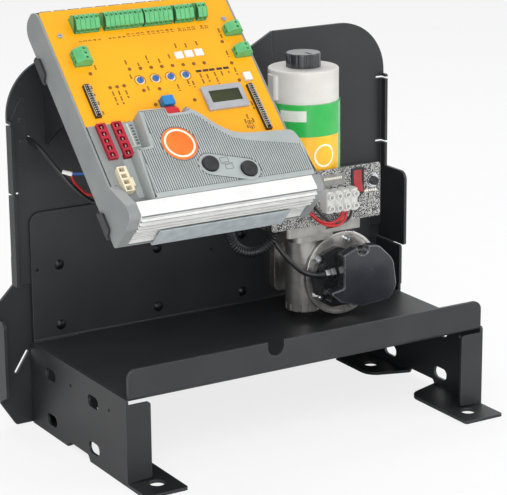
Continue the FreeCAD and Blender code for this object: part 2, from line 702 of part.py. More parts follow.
# ---------------------------------------------------------------- drive
def gear_profile(teeth, module, thin=0.0, addendum=1.0, dedendum=1.2):
    """Tooth outline of a spur gear: root, flank, tip and flank for every tooth."""
    pitch = teeth * module / 2
    angles = []
    for i in range(teeth):
        middle = 2 * math.pi * i / teeth
        half_root = math.pi / teeth * 0.82
        half_pitch = math.pi / (2 * teeth) - thin / pitch
        half_tip = half_pitch * 0.52
        levels = ((-half_root, pitch - dedendum * module), (-half_pitch, pitch),
                  (-half_tip, pitch + addendum * module), (half_tip, pitch + addendum * module),
                  (half_pitch, pitch), (half_root, pitch - dedendum * module))
        for turn, radius in levels:
            angles.append((radius * math.cos(middle + turn), radius * math.sin(middle + turn)))
    return angles


def gear_wire(points, height, turn):
    c, s = math.cos(turn), math.sin(turn)
    corners = [V(u * c - v * s, u * s + v * c, height) for u, v in points]
    return Part.makePolygon(corners + [corners[0]])


def stood_on_y(shape, y):
    """Turn a gear modelled about +Z to lie about +Y at the output axis."""
    shape.rotate(V(0, 0, 0), V(1, 0, 0), -90)
    shape.translate(V(OUT_X, y, OUT_Z))
    return shape


def worm_lead_angle():
    return math.atan(MODULE / (2 * WORM_PITCH_R))


def worm_wheel():
    """Wheel with slanted teeth that follow the worm's lead, on a hub."""
    points = gear_profile(WHEEL_TEETH, MODULE, MESH_GAP / 4, 0.85, 1.25)
    slant = math.tan(worm_lead_angle()) * WHEEL_W / WHEEL_R
    start = math.pi / WHEEL_TEETH - WORM_LEN / 2 / WHEEL_R
    wires = [gear_wire(points, h, start + slant * (h / WHEEL_W - 0.5)) for h in (0, WHEEL_W)]
    teeth = Part.makeLoft(wires, True, True)
    hub = rod((0, 0, -4), SHAFT_R + 5, WHEEL_W + 8, "z")
    wheel = teeth.fuse(hub).removeSplitter()
    wheel = wheel.cut(rod((0, 0, -5), SHAFT_R + SEAT, WHEEL_W + 10, "z"))
    return stood_on_y(wheel, MOTOR_Y - WHEEL_W / 2)


def worm_thread():
    """Helical thread of the worm, centred on its middle."""
    pitch = math.pi * MODULE
    turns_len = WORM_LEN
    root = WORM_PITCH_R - 1.25 * MODULE
    tip = WORM_PITCH_R + 0.8 * MODULE
    half_root = pitch / 2 - math.pi * MODULE / 4 + 0.25 * MODULE - MESH_GAP / 2
    half_tip = half_root - (tip - root) * math.tan(math.radians(16))
    helix = Part.makeHelix(pitch, turns_len, root)
    base = root - 0.3
    corners = [V(base, 0, -half_root), V(tip, 0, -half_tip), V(tip, 0, half_tip),
               V(base, 0, half_root)]
    section = Part.makePolygon(corners + [corners[0]])
    thread = Part.Wire(helix).makePipeShell([section], True, True)
    core = Part.makeCylinder(root, turns_len + 6, V(0, 0, -3))
    return core.fuse(thread)


def rotor():
    """Armature, shaft and worm in one turning piece."""
    worm = worm_thread()
    worm.translate(V(MOTOR_X, MOTOR_Y, OUT_Z - WORM_LEN / 2))
    rotor_low = MOTOR_FLANGE_Z + 26
    low = BOSS_LOW_Z + 8
    top = CAP_TOP_Z + KNOB_H - 3
    shaft = rod((MOTOR_X, MOTOR_Y, low), ROTOR_SHAFT_R, top - low, "z")
    stack = rod((MOTOR_X, MOTOR_Y, rotor_low), ROTOR_R, ROTOR_H, "z")
    for i in range(12):
        a = 2 * math.pi * i / 12
        groove = rod((MOTOR_X + (ROTOR_R + 0.4) * math.cos(a),
                      MOTOR_Y + (ROTOR_R + 0.4) * math.sin(a), rotor_low), 1.6, ROTOR_H, "z")
        stack = stack.cut(groove)
    commutator = rod((MOTOR_X, MOTOR_Y, rotor_low + ROTOR_H), 11, 14, "z")
    return worm.fuse(shaft).fuse(stack).fuse(commutator)


def hand_knob():
    """Fluted knob that turns the motor shaft by hand."""
    z = CAP_TOP_Z + RUN
    knob = rod((MOTOR_X, MOTOR_Y, z), KNOB_R, KNOB_H, "z")
    edge = [e for e in knob.Edges if abs(e.CenterOfMass.z - z - KNOB_H) < 0.01
            and abs(e.BoundBox.ZLength) < 0.01]
    knob = knob.makeFillet(1.2, edge)
    for i in range(KNOB_FLUTES):
        a = 2 * math.pi * (i + 0.5) / KNOB_FLUTES
        knob = knob.cut(rod((MOTOR_X + (KNOB_R + 0.9) * math.cos(a),
                             MOTOR_Y + (KNOB_R + 0.9) * math.sin(a), z - 1), 1.7,
                            KNOB_H + 2, "z"))
    pointer = block((MOTOR_X - 1.2, MOTOR_Y - KNOB_R + 3, z + KNOB_H - 1.2),
                    (MOTOR_X + 1.2, MOTOR_Y - 4, z + KNOB_H + 1))
    knob = knob.cut(pointer)
    return knob.cut(rod((MOTOR_X, MOTOR_Y, z - 1), ROTOR_SHAFT_R + SEAT, KNOB_H - 2, "z"))


def motor_case():
    """Steel tube of the motor on its flange."""
    base = (MOTOR_X, MOTOR_Y, MOTOR_FLANGE_Z)
    return ring(base, MOTOR_R, MOTOR_R - MOTOR_WALL, MOTOR_BODY_H, "z")


def motor_cap():
    """Cast end cap with two lugs and the upper bearing seat."""
    base = (MOTOR_X, MOTOR_Y, BODY_TOP_Z)
    cap = rod(base, CAP_R, CAP_H, "z")
    edge = [e for e in cap.Edges if abs(e.CenterOfMass.z - CAP_TOP_Z) < 0.01
            and e.BoundBox.ZLength < 0.01]
    cap = cap.makeFillet(2.0, edge)
    for side in (-1, 1):
        x = MOTOR_X + side * (CAP_R - CAP_LUG_W / 2 + CAP_LUG)
        lug = slab(rectangle(x - CAP_LUG_W / 2, MOTOR_Y - CAP_LUG_W / 2, x + CAP_LUG_W / 2,
                             MOTOR_Y + CAP_LUG_W / 2, 4), "z", BODY_TOP_Z + 3, CAP_H - 8)
        cap = cap.fuse(lug)
    cap = cap.removeSplitter()
    hollow = rod(base, CAP_R - 4, CAP_H - 12, "z")
    seat = rod((MOTOR_X, MOTOR_Y, CAP_TOP_Z - 12), ROTOR_BEARING_R + SEAT, 7, "z")
    bore = rod(base, ROTOR_SHAFT_R + RUN + 1, CAP_H + 1, "z")
    return cap.cut(hollow).cut(seat).cut(bore)


def motor_magnets():
    """Two magnet shells inside the case."""
    outer = MOTOR_R - MOTOR_WALL - SEAT
    base = (MOTOR_X, MOTOR_Y, MOTOR_FLANGE_Z + 22)
    shell = ring(base, outer, outer - MAGNET_T, ROTOR_H + 8, "z")
    gap = block((MOTOR_X - 9, MOTOR_Y - MOTOR_R, base[2]),
                (MOTOR_X + 9, MOTOR_Y + MOTOR_R, base[2] + ROTOR_H + 8))
    return shell.cut(gap)


def motor_flange():
    """Square cast flange between gearbox and motor."""
    z = MOTOR_FLANGE_Z - MOTOR_FLANGE_T
    plate = slab(rectangle(MOTOR_X - MOTOR_FLANGE_W / 2, MOTOR_Y - MOTOR_FLANGE_D / 2 + 1,
                           MOTOR_X + MOTOR_FLANGE_W / 2, MOTOR_Y + MOTOR_FLANGE_D / 2 + 1, 5),
                 "z", z, MOTOR_FLANGE_T)
    front = MOTOR_Y - MOTOR_FLANGE_D / 2 + 1
    pocket = block((MOTOR_X + 1, front - 1, z + MOTOR_FLANGE_T - FLANGE_SLOT_H - 3),
                   (MOTOR_X + 1 + FLANGE_SLOT_W, front + 5, z + MOTOR_FLANGE_T - 3))
    seat = rod((MOTOR_X, MOTOR_Y, z + 3), ROTOR_BEARING_R + SEAT, 7, "z")
    bore = rod((MOTOR_X, MOTOR_Y, z - 1), ROTOR_SHAFT_R + RUN + 1, MOTOR_FLANGE_T + 2, "z")
    return plate.cut(pocket).cut(seat).cut(bore)


def gearbox_housing():
    """Cast gear case: wheel drum, upright worm tube, rear neck and mounting pad."""
    front = DISC_Y + DISC_T
    rear = MOTOR_Y + GEARBOX_REAR
    pad_y = BACK_Y - SHEET - REAR_PAD_T
    drum = rod((OUT_X, front, OUT_Z), GEARBOX_R, rear - front, "y")
    neck = rod((OUT_X, rear - 1, OUT_Z), NECK_R, pad_y - rear + 2, "y")
    pad = slab(rectangle(OUT_X - REAR_PAD_W / 2, OUT_Z - REAR_PAD_H / 2, OUT_X + REAR_PAD_W / 2,
                         OUT_Z + REAR_PAD_H / 2, 6), "y", pad_y, REAR_PAD_T)
    top = MOTOR_FLANGE_Z - MOTOR_FLANGE_T
    tube = rod((MOTOR_X, MOTOR_Y, BOSS_LOW_Z), BOSS_R, top - BOSS_LOW_Z, "z")
    collar = slab(rectangle(MOTOR_X - 24, MOTOR_Y - 24, MOTOR_X + 24, MOTOR_Y + 24, 8),
                  "z", top - 12, 12)
    web = slab([(MOTOR_X - 6, top - 13), (OUT_X + 24, top - 13), (OUT_X + 34, OUT_Z + 18),
                (OUT_X, OUT_Z), (MOTOR_X, OUT_Z)], "y", MOTOR_Y - 9, 22)
    case = joined([drum, neck, pad, tube, collar, web])
    case = case.cut(rod((OUT_X, DISC_Y - 3, OUT_Z), DISC_R + RUN, DISC_T + 3, "y"))
    for i in range(BOSS_RIB_N):
        a = 2 * math.pi * (i + 0.5) / BOSS_RIB_N
        case = case.cut(rod((MOTOR_X + BOSS_R * math.cos(a), MOTOR_Y + BOSS_R * math.sin(a),
                             BOSS_LOW_Z - 1), 1.5, 8, "z"))
    cavity_r = WHEEL_R + MODULE + 3
    cavity = rod((OUT_X, front - 1, OUT_Z), cavity_r, rear - GEARBOX_WALL - front + 1, "y")
    worm_bore = rod((MOTOR_X, MOTOR_Y, BOSS_LOW_Z + 6), WORM_PITCH_R + MODULE + 2,
                    top - BOSS_LOW_Z - 5, "z")
    shaft_bore = rod((OUT_X, front, OUT_Z), SHAFT_R + RUN + 1, BACK_Y, "y")
    seat_mid = rod((OUT_X, rear - GEARBOX_WALL - 1, OUT_Z), BEARING_OUT_R + SEAT,
                   BEARING_W + 1, "y")
    seat_rear = rod((OUT_X, BACK_Y - SHEET - BEARING_W, OUT_Z), BEARING_OUT_R + SEAT,
                    BEARING_W + 1, "y")
    case = case.cut(cavity).cut(worm_bore).cut(shaft_bore).cut(seat_mid).cut(seat_rear)
    for x, z in gearbox_bolt_places():
        case = case.cut(rod((x, pad_y + 2, z), GEARBOX_BOLT_R + SEAT, REAR_PAD_T, "y"))
    return case


def gearbox_disc():
    """Machined front cover of the gear case with a raised rim."""
    disc = rod((OUT_X, DISC_Y, OUT_Z), DISC_R, DISC_T, "y")
    recess = rod((OUT_X, DISC_Y - 1, OUT_Z), DISC_R - DISC_RIM, 2.0, "y")
    disc = disc.cut(recess)
    seat = rod((OUT_X, DISC_Y + 2.5, OUT_Z), SHAFT_R + RUN + 0.5, DISC_T, "y")
    disc = disc.cut(seat)
    for x, z in disc_bolt_places():
        disc = disc.cut(rod((x, DISC_Y - 1, z), DISC_BOLT_R - 0.6 + SEAT, DISC_T + 2, "y"))
    return disc


def disc_bolt_places():
    return [(OUT_X + DISC_BOLT_RING * math.cos(math.radians(a)),
             OUT_Z + DISC_BOLT_RING * math.sin(math.radians(a))) for a in (80, 148, 215, 285)]


def output_shaft():
    """Stepped shaft with a threaded end, from wheel to pinion."""
    y0 = MOTOR_Y - SHAFT_FRONT
    end = PINION_Y + PINION_W + NUT_H + 2
    shaft = rod((OUT_X, y0 + 1, OUT_Z), SHAFT_R, end - y0 - 1, "y")
    edge = [e for e in shaft.Edges if e.BoundBox.YLength < 0.01
            and abs(e.CenterOfMass.y - end) < 0.01]
    shaft = shaft.makeChamfer(1.0, edge)
    collar_y = MOTOR_Y + WHEEL_W / 2 + 4
    collar = rod((OUT_X, collar_y, OUT_Z), SHAFT_R + 2.5, 2.5, "y")
    spacer_y = BACK_Y - SHEET + 1
    spacer = rod((OUT_X, spacer_y, OUT_Z), SHAFT_R + 4, PINION_Y - spacer_y, "y")
    return joined([shaft, collar, spacer])


def drive_pinion():
    """Rack pinion with eighteen teeth and its clamping nut."""
    points = gear_profile(PINION_TEETH, PINION_MODULE, 0.05, 1.0, 1.2)
    wires = [gear_wire(points, h, 0.0) for h in (0, PINION_W)]
    gear = Part.makeLoft(wires, True, True)
    gear = gear.cut(rod((0, 0, -1), SHAFT_R + SEAT, PINION_W + 2, "z"))
    gear = gear.cut(ring((0, 0, PINION_W - 4), 24, 15, 5, "z"))
    return stood_on_y(gear, PINION_Y)


def pinion_nut():
    y = PINION_Y + PINION_W
    nut = hex_head((OUT_X, y, OUT_Z), NUT_R, NUT_H, "y")
    return nut.cut(rod((OUT_X, y - 1, OUT_Z), SHAFT_R + SEAT, NUT_H + 2, "y"))


def bearings():
    """Two output bearings and two rotor bearings."""
    rear = MOTOR_Y + GEARBOX_REAR
    pieces = [
        bearing((OUT_X, rear - GEARBOX_WALL, OUT_Z), BEARING_OUT_R, SHAFT_R + RUN, BEARING_W, "y"),
        bearing((OUT_X, BACK_Y - SHEET - BEARING_W, OUT_Z), BEARING_OUT_R, SHAFT_R + RUN,
                BEARING_W, "y"),
        bearing((MOTOR_X, MOTOR_Y, MOTOR_FLANGE_Z - MOTOR_FLANGE_T + 3), ROTOR_BEARING_R,
                ROTOR_SHAFT_R + RUN, 7, "z"),
        bearing((MOTOR_X, MOTOR_Y, CAP_TOP_Z - 12), ROTOR_BEARING_R, ROTOR_SHAFT_R + RUN, 7,
                "z")]
    return Part.Compound(pieces)


def gearbox_bolts():
    """Four hexagon bolts from behind the plates into the gearbox pad."""
    bolts = []
    for x, z in gearbox_bolt_places():
        head = hex_head((x, REAR_FACE_Y, z), GEARBOX_BOLT_R * 1.8, 5.3, "y")
        length = 3 * SHEET + REAR_PAD_T - 3
        shank = rod((x, REAR_FACE_Y - length, z), GEARBOX_BOLT_R, length + 1, "y")
        bolts.append(joined([head, shank]))
    return Part.Compound(bolts)


# ---------------------------------------------------------------- sensor cover
def sensor_base():
    """Black moulded base on the disc, stepped down on the left for the sensor."""
    y = DISC_Y - SENSOR_BASE_T + 1
    deep = [(-31, -22, 6), (-14, -33, 8), (19, -33, 14), (34, -18, 14), (36, 12, 14),
            (26, 29, 10), (8, 24, 6), (-6, 30, 8), (-24, 25, 10), (-36, 2, 10)]
    plate = slab(shifted(deep, SENSOR_X, OUT_Z), "y", DISC_Y - 5.0, 6.0)
    inner = [(-12, -24, 5), (20, -29, 12), (33, -16, 12), (34, 10, 12), (22, 25, 8), (-12, 26, 5)]
    tower = slab(shifted(inner, SENSOR_X, OUT_Z), "y", y, SENSOR_BASE_T - 5.0)
    foot = [(-30, -19, 4), (-14, -28, 4), (-12, -12, 2), (-26, -8, 3)]
    lower = slab(shifted(foot, SENSOR_X, OUT_Z), "y", y, SENSOR_BASE_T - 5.0)
    gland = rod((SENSOR_X - 24.5, DISC_Y - 9.5, OUT_Z + 5), 4.5, 11.0, "x")
    sensor = slab(shifted(rectangle(-15.5, -2, -8, 12, 1), SENSOR_X, OUT_Z), "y", DISC_Y - 12, 8.0)
    rib = slab(shifted([(-30, 4, 1), (-24, 17, 1), (-22, 16, 1), (-28, 3, 1)], SENSOR_X, OUT_Z),
               "y", DISC_Y - 6.5, 2.5)
    base = joined([plate, tower, lower, gland, sensor, rib])
    for bx, bz in disc_bolt_places():
        base = base.cut(rod((bx, y - 1, bz), 6.0, SENSOR_BASE_T + 3, "y"))
    return base


def sensor_lid():
    """Smooth dark lid with a round bite at the top and a tongue at the lower left."""
    y = DISC_Y - SENSOR_BASE_T + 1 - SENSOR_LID_T
    points = [(-13.3, 26.7, 2), (1.0, 32.0, 3), (3.0, 32.6, 1), (4.5, 24.0, 6), (15.5, 24.0, 6),
              (17.0, 32.8, 1), (29.0, 31.5, 14), (47.0, 14.0, 22), (51.0, -14.0, 10),
              (44.0, -27.5, 12), (8.0, -30.0, 12), (-16.5, -22.5, 6), (-30.0, -11.0, 2),
              (-13.0, -8.2, 2)]
    lid = slab(shifted(points, SENSOR_X, OUT_Z), "y", y, SENSOR_LID_T)
    rim = [e for e in lid.Edges if abs(e.CenterOfMass.y - y) < 0.01 and e.BoundBox.YLength < 0.01]
    return lid.makeChamfer(0.9, rim)


def disc_bolts():
    """Cap screws that hold the disc and the sensor cover."""
    bolts = []
    for x, z in disc_bolt_places():
        head = rod((x, DISC_Y - 3.4, z), DISC_BOLT_R + 0.2, 4.4, "y")
        socket = hex_head((x, DISC_Y - 3.9, z), 1.6, 2.5, "y")
        shank = rod((x, DISC_Y + 1, z), DISC_BOLT_R - 0.6, DISC_T - 1, "y")
        bolts.append(joined([head.cut(socket), shank]))
    return Part.Compound(bolts)


# ---------------------------------------------------------------- switch panel
def switch_panel():
    """Bent sheet with its foot on the motor flange."""
    left = PANEL_RIGHT - PANEL_W
    z = MOTOR_FLANGE_Z
    face = slab([(left, z, 2), (PANEL_RIGHT, z, 2), (PANEL_RIGHT, z + PANEL_H, 2),
                 (left, z + PANEL_H, 2)], "y", PANEL_Y, PANEL_T)
    foot = block((MOTOR_X - MOTOR_FLANGE_W / 2 + 2, PANEL_Y, z),
                 (MOTOR_X + MOTOR_FLANGE_W / 2 - 2, PANEL_Y + 22, z + PANEL_T))
    foot = foot.cut(rod((MOTOR_X, MOTOR_Y, z - 1), MOTOR_R + PANEL_GAP, PANEL_T + 2, "z"))
    tab_y = CABLE_Y + CONDUIT_D / 2 + 4.0
    tab = slab(rectangle(CONDUIT_X - 9.0, PANEL_Y + PANEL_T - 0.5, CONDUIT_X + 9.0, tab_y, 2),
               "z", CONDUIT_TAB_Z, PANEL_T)
    tab = tab.cut(rod((CONDUIT_X, CABLE_Y, CONDUIT_TAB_Z - 1), CONDUIT_D / 2 + SEAT, PANEL_T + 2,
                      "z"))
    panel = joined([face, foot, tab])
    for x in wire_places():
        hole_z = CHOC_Z - CHOC_H / 2 + 5.0
        panel = panel.cut(rod((x - WIRE_RUN + 0.4, PANEL_Y - 1, hole_z), WIRE_D / 2 + 1.2,
                              PANEL_T + 2, "y"))
    rocker_hole = slab(rectangle(ROCKER_X - ROCKER_W / 2 + 1, ROCKER_Z - ROCKER_H / 2 + 1,
                                 ROCKER_X + ROCKER_W / 2 - 1, ROCKER_Z + ROCKER_H / 2 - 1),
                       "y", PANEL_Y - 1, PANEL_T + 2)
    panel = panel.cut(rocker_hole)
    return panel.cut(rod((BREAKER_X, PANEL_Y - 1, BREAKER_Z), BREAKER_RING_R - 1, PANEL_T + 2,
                         "y"))


def switch_bezels():
    """Frame of the rocker switch with its body, and the collar of the breaker."""
    x, z = ROCKER_X, ROCKER_Z
    w, h = ROCKER_W / 2, ROCKER_H / 2
    y = PANEL_Y - ROCKER_BEZEL_T
    frame = slab(rectangle(x - w, z - h, x + w, z + h, 1.2), "y", y, ROCKER_BEZEL_T)
    body_y = PANEL_Y + PANEL_T + 2.5
    body = block((x - w + 1 + SEAT, PANEL_Y, z - h + 1 + SEAT),
                 (x + w - 1 - SEAT, body_y, z + h - 1 - SEAT))
    well = block((x - w + ROCKER_RIM, y - 1, z - h + ROCKER_RIM),
                 (x + w - ROCKER_RIM, body_y - 1.0, z + h - ROCKER_RIM))
    switch = joined([frame, body]).cut(well)
    collar = rod((BREAKER_X, PANEL_Y - 3, BREAKER_Z), BREAKER_RING_R, 3, "y")
    tail = rod((BREAKER_X, PANEL_Y, BREAKER_Z), BREAKER_RING_R - 1 - SEAT, 10, "y")
    breaker = joined([collar, tail])
    breaker = breaker.cut(rod((BREAKER_X, PANEL_Y - 4, BREAKER_Z), BREAKER_R + RUN, 12, "y"))
    return Part.Compound([switch, breaker])


def rocker():
    """Rocker with two faces that meet in a shallow V, resting on one side."""
    half = ROCKER_H / 2 - ROCKER_RIM - ROCKER_GAP
    width = ROCKER_W - 2 * ROCKER_RIM - 2 * ROCKER_GAP
    y = PANEL_Y
    rise = half * math.tan(math.radians(ROCKER_TILT))
    points = [(y - 1.6 - rise * 1.0, half), (y - 1.6, 0), (y - 1.6 - rise * 1.0, -half),
              (y - 0.2, -half), (y + 1.0, 0), (y - 0.2, half)]
    shape = slab(points, "x", ROCKER_X - width / 2, width)
    shape.translate(V(0, 0, ROCKER_Z))
    shape.rotate(V(ROCKER_X, y, ROCKER_Z), V(1, 0, 0), -ROCKER_TILT)
    return shape


def breaker_button():
    stem = rod((BREAKER_X, PANEL_Y - 3 - BREAKER_TRAVEL - 1.5, BREAKER_Z), BREAKER_R, 7.0, "y")
    edge = [e for e in stem.Edges if e.BoundBox.YLength < 0.01
            and abs(e.CenterOfMass.y - (PANEL_Y - 4.5 - BREAKER_TRAVEL)) < 0.01]
    return stem.makeFillet(0.8, edge)


def choc_block():
    """Screw terminal strip: a rounded tower per pole on a common web."""
    width = CHOC_POLES * CHOC_PITCH
    x0 = CHOC_X - width / 2
    y = PANEL_Y - CHOC_T
    low = CHOC_Z - CHOC_H / 2
    web = block((x0 + 1, y + 5, low + 2), (x0 + width - 1, PANEL_Y, low + CHOC_H - 2))
    parts = [web]
    for i in range(CHOC_POLES):
        x = x0 + CHOC_PITCH * (i + 0.5)
        parts.append(slab(rectangle(x - 3.7, y + 3, x + 3.7, PANEL_Y - 2, 2), "z", low, CHOC_H))
        for z in (low + 5, low + CHOC_H - 5):
            parts.append(rod((x, y, z), 3.4, 6, "y"))
    body = joined(parts)
    for i in range(CHOC_POLES):
        x = x0 + CHOC_PITCH * (i + 0.5)
        for z in (low + 5, low + CHOC_H - 5):
            body = body.cut(rod((x, y - 1, z), 2.0, 4.5, "y"))
        body = body.cut(rod((x, PANEL_Y - CHOC_WIRE_Y, low - 1), 1.7, 5, "z"))
        body = body.cut(rod((x, PANEL_Y - CHOC_WIRE_Y, low + CHOC_H - 4), 1.7, 5, "z"))
    return body


# ---------------------------------------------------------------- control unit
def side_profile(inset=0.0):
    """(t, n) outline of the housing seen from the side, rounded at the top."""
    k = inset
    return [(-6.0 + k, 0.0, CU_TOP_R - k), (-6.0 + k, -CU_DEPTH + k, CU_TOP_R - k),
            (CU_L - k, -CU_DEPTH + k, 4.0), (CU_L - k, 0.0)]


def along_s(points, s, thick):
    """Prism along s from (t, n) points, in the control unit's own frame."""
    flipped = [(-p[0], p[1]) + tuple(p[2:]) for p in points]
    return slab(flipped, "x", s, thick)


def control_housing():
    """Grey moulded tray with rounded top, end caps and the nose beside the heatsink."""
    outer = along_s(side_profile(), -1.5, CU_W)
    inner = [(-6.0 + CU_WALL, 1.0), (-6.0 + CU_WALL, -CU_DEPTH + CU_WALL, CU_TOP_R - CU_WALL),
             (SINK_TOP_T + 2, -CU_DEPTH + CU_WALL, 2.0), (SINK_TOP_T + 2, 1.0)]
    shell = outer.cut(along_s(inner, -1.5 + CU_WALL, CU_W - 2 * CU_WALL))
    sink_s0 = CU_END_WALL
    sink_s1 = CU_W - CU_END_WALL
    shell = shell.cut(along_s([(SINK_TOP_T, -CU_DEPTH + CU_WALL), (CU_L + 1, -CU_DEPTH + CU_WALL),
                               (CU_L + 1, 1.0), (SINK_TOP_T, 1.0)], sink_s0, sink_s1 - sink_s0))
    nose = [(196.0, 0.0, 2), (SINK_TOP_T + 2.0, COVER_H, 8), (SINK_NOSE_T, COVER_H, 7),
            (CU_L, 0.0, 1), (CU_L, -6.0), (196.0, -6.0)]
    left_cap = along_s(nose, -1.5, CU_END_WALL + 1.5)
    right_nose = [(SINK_TOP_T, 0.0), (SINK_TOP_T, COVER_H), (SINK_NOSE_T, COVER_H, 7),
                  (CU_L, 0.0, 1), (CU_L, -6.0), (SINK_TOP_T, -6.0)]
    right_cap = along_s(right_nose, sink_s1, CU_W - 1.5 - sink_s1)
    ridges = []
    top_band = block((-2.0, 2.0, -CU_DEPTH), (CU_W, 10.0, 0.0))
    for i in range(RIDGE_N):
        s = 12.0 + RIDGE_PITCH * i
        ridge = along_s(side_profile(-RIDGE_H), s - RIDGE_W / 2, RIDGE_W)
        ridges.append(ridge.common(top_band))
    shell = joined([shell, left_cap, right_cap] + ridges)
    bay = slab(rectangle(2.0, -SINK_TOP_T + 2, BAY_S, -PLATE_SHORT_T), "z", -3.0, 3.0)
    shell = joined([shell, bay])
    for pocket in (SMALL_POCKET, LONG_POCKET):
        shell = shell.cut(face_block(pocket, POCKET_DEPTH + 1, -POCKET_DEPTH, 1.5))
    return shell.cut(red_pockets(HOLE_GAP / 2)).cut(cream_pocket(HOLE_GAP / 2))


def red_item(index):
    return (RED_S[index], RED_T, RED_W, RED_POLES * RED_PITCH)


def grown(item, gap):
    return (item[0], item[1], item[2] + 2 * gap, item[3] + 2 * gap)


def cream_item():
    return (CREAM_AT[0], CREAM_AT[1], CREAM_W, CREAM_POLES * CREAM_PITCH)


def red_pockets(gap):
    return face_block(grown(red_item(0), gap), 8.0, -5.0).fuse(
        face_block(grown(red_item(1), gap), 8.0, -5.0))


def cream_pocket(gap):
    return face_block(grown(cream_item(), gap), 8.0, -5.0)


def terminal_item(poles, s, t, upright):
    """(s, t, width, length) of a pluggable block; upright blocks run down the slope."""
    length = poles * POLE
    if upright:
        return (s + TERMINAL_D / 2, t + length / 2, TERMINAL_D, length)
    return (s + length / 2, t, length, TERMINAL_D)


def side_terminal_places():
    """(poles, s, t) of the three blocks that run down the slope."""
    left = (LEFT_POLES,) + LEFT_TERMINAL
    return [left] + [(RIGHT_POLES, RIGHT_TERMINAL_S, t) for t in RIGHT_TERMINAL_T]


def plate_items():
    """Every item that stands through the faceplate."""
    items = [terminal_item(n, s, TERMINAL_ROW_T, False)
             for n, s in zip(TERMINAL_POLES, TERMINAL_S)]
    items += [terminal_item(n, s, t, True) for n, s, t in side_terminal_places()]
    items += [BLUE_KEY, RESET_KEY]
    items += list(STRIPS)
    return items


def faceplate():
    """Printed plate with an opening for every connector, key and trimmer."""
    m = CU_WALL - 1.5 + PLATE_MARGIN
    right = CU_W - 1.5 - CU_WALL - PLATE_MARGIN
    points = [(m, -m, 2), (right, -m, 2), (right, -PLATE_LONG_T), (BAY_S + 2, -PLATE_LONG_T),
              (BAY_S + 2, -PLATE_SHORT_T), (m, -PLATE_SHORT_T)]
    plate = slab(points, "z", -PLATE_T, PLATE_T)
    for item in plate_items():
        plate = plate.cut(face_block(grown(item, HOLE_GAP), PLATE_T + 2, -PLATE_T - 1))
    for s in TRIMMER_S:
        plate = plate.cut(rod((s, -TRIMMER_T, -PLATE_T - 1), TRIMMER_R + HOLE_GAP, 4, "z"))
    plate = plate.cut(face_block(grown(SCREEN, -0.5), PLATE_T + 2, -PLATE_T - 1))
    for s, t in SCREW_AT:
        plate = plate.cut(rod((s, -t, -PLATE_T - 1), 1.5 + SEAT, 4, "z"))
    return plate.cut(face_block(grown(PLUG, HOLE_GAP), PLATE_T + 2, -PLATE_T - 1))


def cover_outline(inset):
    """(s, -t) points of the raised cover: notch for the plug, then the long S to the right."""
    k = inset
    notch_l, notch_r = 78.0, 97.0
    notch_t = 137.0
    right = CU_W - 1.5 - RUN
    left_low = (33.5 + k, -SINK_TOP_T + RUN)
    return [(49.5 + k, -(129.5 + k), 1.5), (notch_l - k * 0.2, -(130.0 + k), 2),
            (notch_l - k * 0.2, -(notch_t + k), 2), (notch_r + k * 0.2, -(notch_t + k), 2),
            (notch_r + k * 0.2, -(131.5 + k), 1.5), (109.0 - k * 0.3, -(139.0 + k), 16),
            (121.0 - k, -(154.5 + k), 20), (135.0 - k, -(165.5 + k * 1.6), 20),
            (148.0, -(168.5 + k * 2.2), 16), (198.0 - k, -(171.5 + k * 2.4), 8),
            (right - k, -(186.0 + k), 4), (right - k, -SINK_TOP_T + RUN), left_low]


def ribbed_cover():
    """Raised grey cover: upright wall, then a sloping shoulder up to the ribbed field."""
    wall = slab(cover_outline(0.0), "z", 0.0, COVER_H - COVER_BEVEL)
    lower = outline(cover_outline(0.0))
    lower.translate(V(0, 0, COVER_H - COVER_BEVEL))
    upper = outline(cover_outline(3.2))
    upper.translate(V(0, 0, COVER_H))
    shoulder = Part.makeLoft([lower, upper], True, True)
    cover = joined([wall, shoulder])
    for s, t in BUTTON_AT:
        cover = cover.cut(rod((s, -t, COVER_H - 8), BUTTON_R + RUN, 10, "z"))
    hollow = [(60, -170), (112, -170), (140, -192), (190, -196), (190, -216), (44, -216)]
    return cover.cut(slab(hollow, "z", -1, COVER_H - 8))


def heatsink():
    """Extruded aluminium rail: flat face, round nose with grooves, short fins beneath."""
    top, nose = SINK_TOP_T, SINK_NOSE_T
    back = -CU_DEPTH + CU_WALL + 1.0
    body = [(top + SEAT, COVER_H), (nose, COVER_H, 2.0), (nose + 3.0, 8.0, 3.0),
            (nose + 3.0, -4.0, 1.0), (nose + 1.5, -12.0), (nose + 1.5, back),
            (top + SEAT, back)]
    s0, s1 = CU_END_WALL + SEAT, CU_W - CU_END_WALL - SEAT
    rail = along_s(body, s0, s1 - s0)
    grooves = [(nose - 2.0, COVER_H - 1.1, 0.9), (nose + 2.2, 9.6, 0.8), (nose + 3.0, 3.6, 0.8),
               (nose + 3.0, -0.8, 0.6)]
    for t, n, r in grooves:
        rail = rail.cut(rod((s0 - 1, -t, n), r, s1 - s0 + 2, "x"))
    fin_count, pitch = 6, 3.2
    for i in range(fin_count):
        n = -6.0 - pitch * i
        rail = rail.cut(along_s([(nose - 5.0, n), (nose + 4.0, n), (nose + 4.0, n - pitch * 0.45),
                                 (nose - 5.0, n - pitch * 0.45)], s0 - 1, s1 - s0 + 2))
    return rail


def heatsink_lip():
    """Zinc sheet clipped under the rail, set in from both ends."""
    t = CU_L + SEAT
    points = [(t, -9.0, 0.5), (t + 1.5, -9.0, 0.5), (t + 1.5, -CU_DEPTH - 1.5, 2),
              (196.0, -CU_DEPTH - 1.5), (196.0, -CU_DEPTH - SEAT), (t, -CU_DEPTH - SEAT)]
    return along_s(points, LIP_INSET, CU_W - 2 * LIP_INSET + 6.0)


